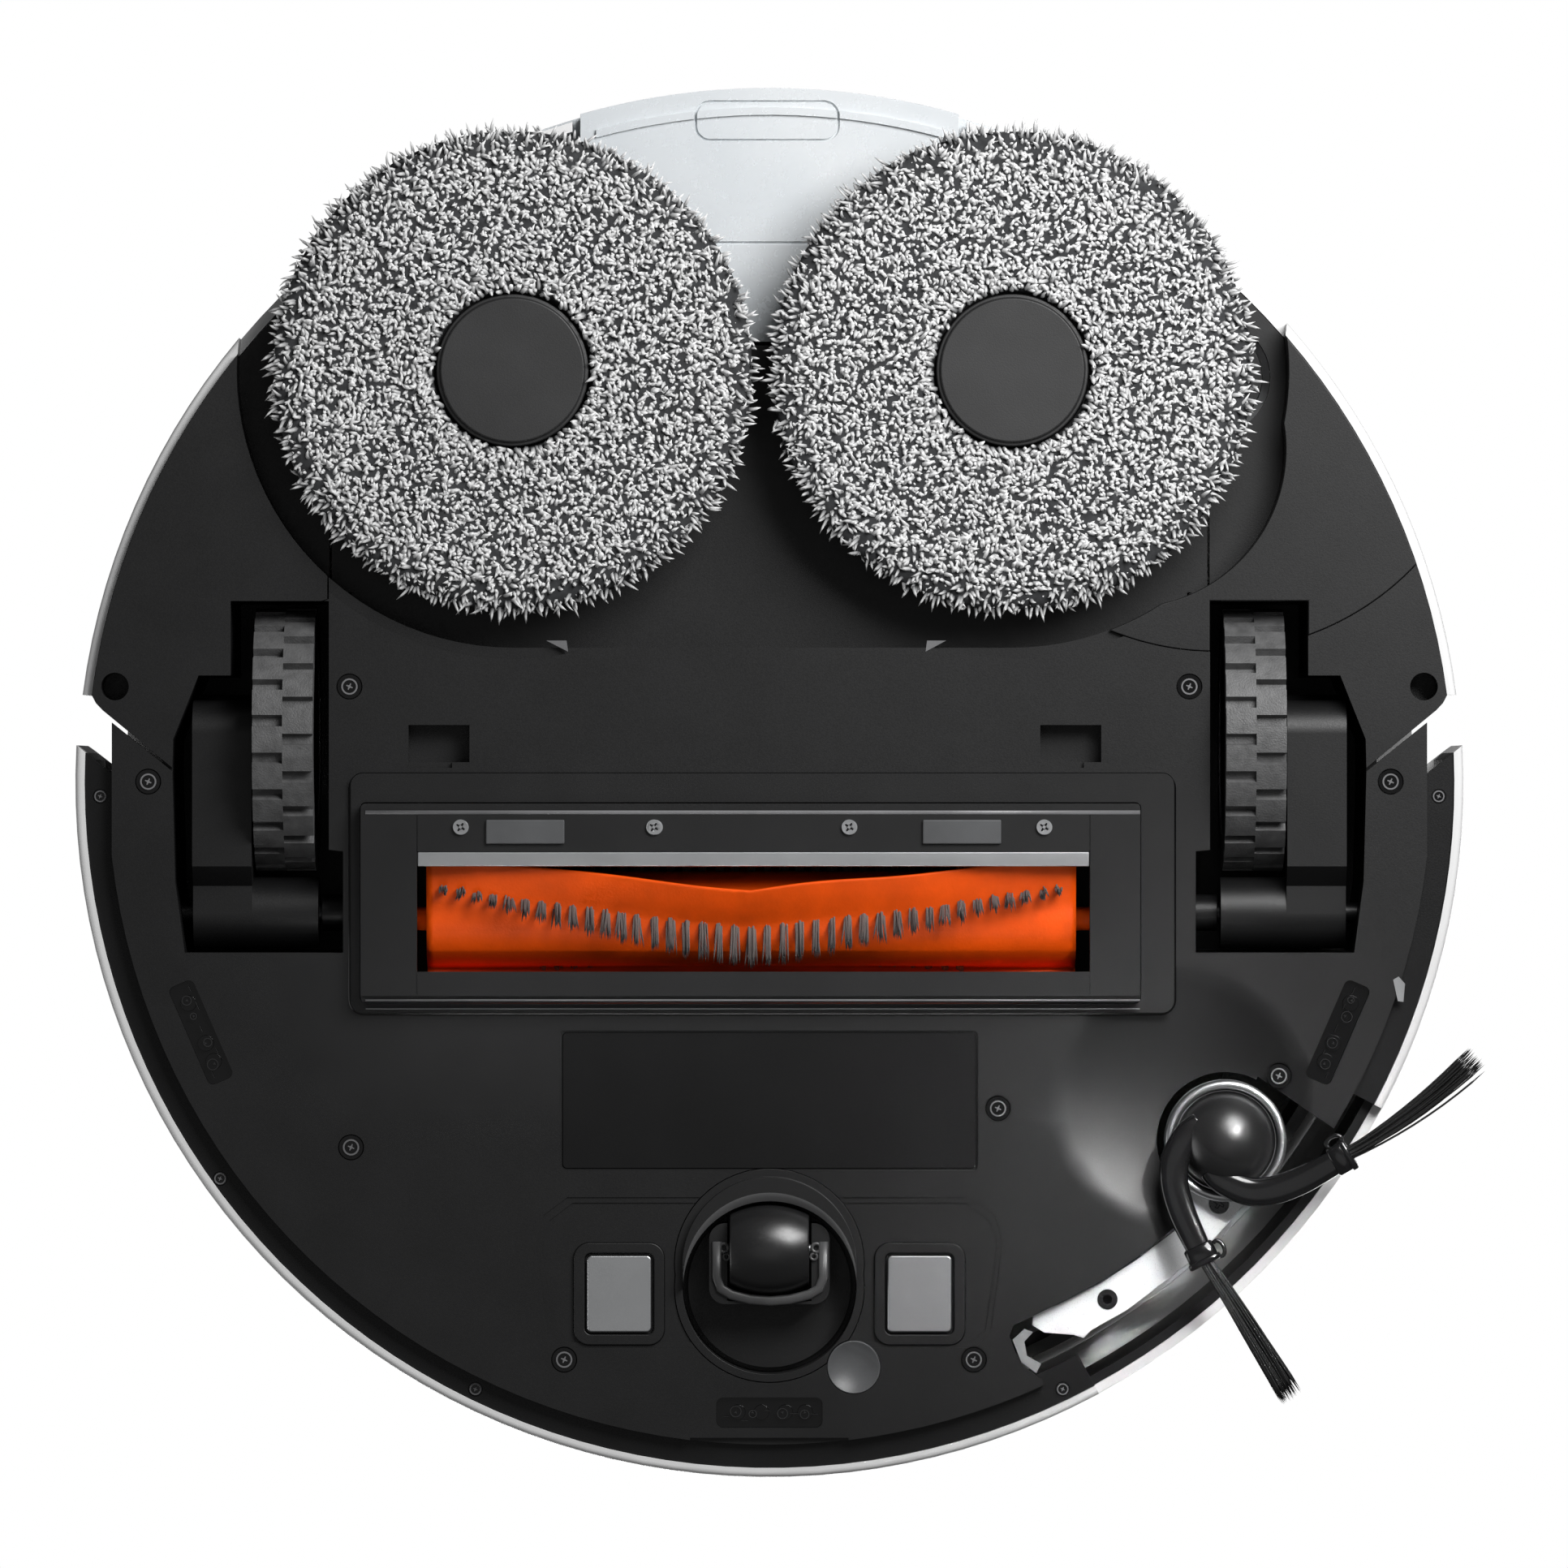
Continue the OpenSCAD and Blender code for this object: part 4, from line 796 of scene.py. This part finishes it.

# The four screws of the brush guard: a bright steel rim, a lobed recess drawn as a black plug for
# painted shade, and a bright steel middle.
GUARD_SCREW_X = (-0.0778, -0.0291, 0.0201, 0.0692)
GUARD_SCREW_Y = 0.01105
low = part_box("guard_screws")[0].z
recess_shade, rims = [], []
for x in GUARD_SCREW_X:
    c = (x, GUARD_SCREW_Y)
    recess_shade.append(star(c, 0.00125, 0.0006, low - 0.00006, low + 0.0003, 4, 0.6))
    rims.append(ring(c, 0.0019, 0.00155, low - 0.00012, low + 0.0003))
    rims.append(star(c, 0.0005, 0.0004, low - 0.00014, low, 4, 0.6 + math.pi / 4))
added(new_piece("guard_screw_recess_shade", *joined(recess_shade), M["window"], False), "chassis")
added(new_piece("guard_screw_rims", *joined(rims), M["steel"], False), "chassis")


def bar(x0, x1, y, z, half_width, half_height):
    """A slim ridge along X with an oval section, in metres."""
    path = [Vector((x, y, z)) / MM for x in np.linspace(x0, x1, 5)]
    n = len(path)
    verts, faces = tube(path, [half_width / MM] * n, [half_height / MM] * n, 12)
    return [v * MM for v in verts], faces


# Three slim ridges painted light grey as painted highlights: two along the guard and one on the frame
# in front of it.
RIDGE_X = (-0.1018, 0.0934)
guard_z, bay_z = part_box("brush_guard")[0].z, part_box("brush_bay")[0].z
ridge_highlights = [
    bar(*RIDGE_X, 0.0074, guard_z + 0.0002, 0.00055, 0.0004),
    bar(*RIDGE_X, 0.0547, guard_z + 0.0003, 0.00025, 0.0004),
    bar(*RIDGE_X, 0.0569, bay_z + 0.0002, 0.00016, 0.0003),
]
added(new_piece("guard_ridge_highlights", *joined(ridge_highlights), M["painted_highlight"]), "chassis")


def prism(points, z_low, z_high):
    """A flat piece of any outline as points and faces, in metres from millimetres."""
    n = len(points)
    verts = [(x * MM, y * MM, z * MM) for z in (z_low, z_high) for x, y in points]
    faces = [(i, (i + 1) % n, n + (i + 1) % n, n + i) for i in range(n)]
    return verts, faces + [tuple(range(n)), tuple(reversed(range(n, 2 * n)))]


def outline(corners, radius, z, half_width, half_height):
    """A closed thin line round a rounded rectangle, in metres."""
    path = [Vector(p) for p in round_corners(corners, radius)]
    verts, faces, n = [], [], len(path)
    for i, p in enumerate(path):
        out = (path[(i + 1) % n] - path[i - 1]).normalized()
        side = Vector((out.y, -out.x))
        for j in range(8):
            a = 2 * math.pi * j / 8
            q = p + side * half_width * math.cos(a)
            verts.append((q.x, q.y, z + half_height * math.sin(a)))
    for i in range(n):
        for j in range(8):
            k, m = (j + 1) % 8, ((i + 1) % n) * 8
            faces.append((i * 8 + j, i * 8 + k, m + k, m + j))
    return verts, faces


# Screw places in millimetres, as in the CAD.
BASE_Z = 0.011
BASE_SCREWS = [
    (-106, -24.4), (106, -24.4), (-156.8, -0.4), (156.8, -0.4), (-105.6, 91.9), (57.7, 82.1),
    (-51.8, 145.5), (51.6, 145.5), (128.6, 73.9),
]
BUMPER_SCREWS = [(-169.1, 3.3), (169.1, 3.3), (-138.8, 99.9), (-74.3, 153.1), (74.1, 153.1)]

# Each base screw: a black disc and ring as painted shade in its well, and a grey lobed mark and ring as
# painted highlight.
low = 11.7 * MM
well_shade, rim_highlights = [], []
for x, y in BASE_SCREWS:
    c = (x * MM, y * MM)
    well_shade.append(star(c, 0.00225, 0.00224, low - 0.0004, low + 0.0006))
    well_shade.append(ring(c, 0.0030, 0.0024, BASE_Z - 0.00006, BASE_Z + 0.0004))
    rim_highlights.append(star(c, 0.0009, 0.0004, low - 0.0005, low, 4, 0.4))
    rim_highlights.append(ring(c, 0.00205, 0.00165, low - 0.0006, low))
added(new_piece("base_screw_well_shade", *joined(well_shade), M["window"], False), "chassis")
added(new_piece("base_screw_rim_highlights", *joined(rim_highlights), M["painted_highlight"], False), "chassis")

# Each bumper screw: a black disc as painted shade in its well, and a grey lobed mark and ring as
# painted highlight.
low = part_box("bumper_screws")[0].z
well_shade, rim_highlights = [], []
for x, y in BUMPER_SCREWS:
    c = (x * MM, y * MM)
    well_shade.append(star(c, 0.0015, 0.00149, low - 0.0001, low + 0.0006))
    rim_highlights.append(star(c, 0.0006, 0.0003, low - 0.0002, low, 4, 0.4))
    rim_highlights.append(ring(c, 0.00145, 0.00115, low - 0.0003, low))
added(new_piece("bumper_screw_well_shade", *joined(well_shade), M["window"], False), "bumper")
added(new_piece("bumper_screw_rim_highlights", *joined(rim_highlights), M["painted_highlight"], False), "bumper")

# A black line round the brush frame as painted shade in its gap, and a grey line just inside as a
# painted highlight on its edge.
gap_shade = outline((-0.1058, -0.0022, 0.1022, 0.0581), 0.0034, BASE_Z + 0.0001, 0.0005, 0.0004)
added(new_piece("brush_frame_gap_shade", *gap_shade, M["window"]), "chassis")
edge = outline((-0.1050, -0.0014, 0.1014, 0.0573), 0.0030, BASE_Z - 0.00005, 0.0002, 0.0003)
added(new_piece("brush_frame_edge_highlight", *edge, M["painted_highlight"]), "chassis")


WELL_R = 0.0219


def caster_collar_highlight():
    """The sloping half-moon at the rear of the caster's round well, painted lighter grey as its
    highlight.
    """
    verts, faces, n = [], [], 49
    for i in range(n):
        a = math.pi + math.pi * i / (n - 1)
        x, y = 0.0001 + WELL_R * math.cos(a), WELL_R * math.sin(a)
        for centre_y, z in ((0.1213, -0.0007), (0.1272, -0.0036), (0.1276, 0.0004)):
            verts.append((x, centre_y + y, BASE_Z + z))
    for i in range(n - 1):
        for j in range(3):
            k = (j + 1) % 3
            faces.append((3 * i + j, 3 * i + k, 3 * i + 3 + k, 3 * i + 3 + j))
    faces += [(0, 1, 2), (3 * n - 1, 3 * n - 2, 3 * n - 3)]
    return verts, faces


added(new_piece("caster_collar_highlight", *caster_collar_highlight(), M["painted_highlight_dark"]), "chassis")

# The guide lies at the low end of the lever's opening, the sliver beside the right-hand sensor.
GUIDE = [
    (61.4, 140.6), (64.4, 137.8), (66.6, 138.6), (64.4, 141.0), (65.0, 144.6), (68.6, 146.6),
    (67.4, 149.0), (63.6, 146.2),
]
SLIVER = [(157.4, 49.6), (158.8, 48.8), (160.4, 50.6), (160.0, 55.2), (158.6, 55.0)]
pale = [prism(GUIDE, 13.0, 13.8), prism(SLIVER, BASE_Z / MM - 0.2, 11.6)]
added(new_piece("light_guides", *joined(pale), M["guide"], False), "chassis")
# The small wedges that end the step in front of the pads, painted light grey as painted highlights.
wedge_highlights = [
    prism([(-56.3, -36.0), (-50.8, -33.2), (-51.2, -36.0)], 10.75, 11.4),
    prism([(44.6, -36.0), (39.4, -33.2), (39.8, -36.0)], 10.75, 11.4),
]
added(new_piece("shelf_wedge_highlights", *joined(wedge_highlights), M["painted_highlight"], False), "chassis")


YOKE_PATH = [
    (-13.2, 115.6), (-13.2, 124.6), (-12.2, 127.4), (-9.6, 129.0), (-4.8, 130.2), (0.2, 130.6),
    (5.2, 130.2), (10.0, 129.0), (12.6, 127.4), (13.6, 124.6), (13.6, 115.6),
]


def yoke():
    """The caster fork's outer edge: a U-shaped lip with stepped ears beside the wheel, in a lighter
    grey that paints a highlight along the edge.
    """
    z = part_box("caster_fork")[0].z - 0.0004
    path = [Vector((x, y, z / MM)) for x, y in YOKE_PATH]
    n = len(path)
    verts, faces = tube(path, [1.25] * n, [0.7] * n, 12)
    parts = [([v * MM for v in verts], faces)]
    for s in (-1, 1):
        for x, y, r in ((11.6, 117.2, 1.5), (11.0, 119.4, 1.1)):
            c = ((0.2 + s * x) * MM, y * MM)
            parts.append(ring(c, r * MM, r * 0.45 * MM, z - 0.0004, z + 0.0006, 24))
    return joined(parts)


added(new_piece("caster_yoke", *yoke(), M["painted_highlight_dark"]), "caster")


def turned(parts, centre, degrees):
    """Parts drawn round the origin, turned and moved to a place on the base."""
    verts, faces = joined(parts)
    turn = Matrix.Rotation(math.radians(degrees), 3, "Z")
    return [turn @ Vector(v) + Vector((*centre, 0)) for v in verts], faces


def slot_details(seed):
    """The lenses, pins and ribs inside a cliff sensor's dark window."""
    rng, z = np.random.default_rng(seed), BASE_Z + 0.0004
    parts = []
    for x in (-0.0088, -0.0045, 0.0030, 0.0086):
        r = rng.uniform(0.0009, 0.0015)
        parts.append(ring((x, rng.uniform(-0.0006, 0.0006)), r, r - 0.00022, z - 0.0003, z, 24))
        parts.append(star((x, 0), 0.0004, 0.0002, z - 0.0003, z, 3, rng.uniform(0, 3)))
    for x in (-0.0112, -0.0066, -0.0008, 0.0060, 0.0110):
        w = rng.uniform(0.0012, 0.0022)
        parts.append(bar(x - w / 2, x + w / 2, rng.uniform(-0.0021, 0.0021), z, 0.00012, 0.0002))
    return parts


details = [
    turned(slot_details(51), (0.0003, 0.1588), 0),
    turned(slot_details(52), (-0.1435, 0.0629), 66.5),
    turned(slot_details(53), (0.1435, 0.0629), 113.5),
]
added(new_piece("cliff_sensor_optics", *joined(details), M["optics"], False), "chassis")

# ---------------------------------------------------------------- studio

area_light("key", (0.34, -0.40, -0.52), (0.02, -0.03, 0.01), (0.44, 0.44), 7.4)
area_light("soft", (-0.10, 0.35, -1.9), (0, 0, 0.02), (1.3, 1.0), 0.8)
area_light("rim_left", (-0.75, 0.30, -0.10), (-0.1, 0.05, 0.03), (0.5, 0.25), 0.9)
area_light("back", (0.3, 0.6, 1.3), (0, 0, 0.05), (1.4, 1.0), 16)
# Two narrow lights pick out the orange roller and the bowl round the side brush.
area_light("on_roller", (-0.004, 0.21, -0.30), (-0.004, 0.044, 0.010), (0.20, 0.02), 0.005, 14)
area_light("on_bowl", (0.40, -0.22, -0.62), (0.088, 0.094, 0.012), (0.08, 0.08), 0.024, 8)

FLOOR, FLOOR_Z = 9, -5.4
floor_mesh = bpy.data.meshes.new("floor")
corners = [(x * FLOOR, y * FLOOR, FLOOR_Z) for x, y in ((-1, -1), (1, -1), (1, 1), (-1, 1))]
floor_mesh.from_pydata(corners, [], [(0, 1, 2, 3)])
floor = bpy.data.objects.new("floor", floor_mesh)
scene.collection.objects.link(floor)
pale_floor = moulded("pale_floor", (0.8, 0.8, 0.8), 0.6, grain=40, spread=0.03, blotch=2)
floor_mesh.materials.append(pale_floor)

scene.view_settings.view_transform = "Standard"
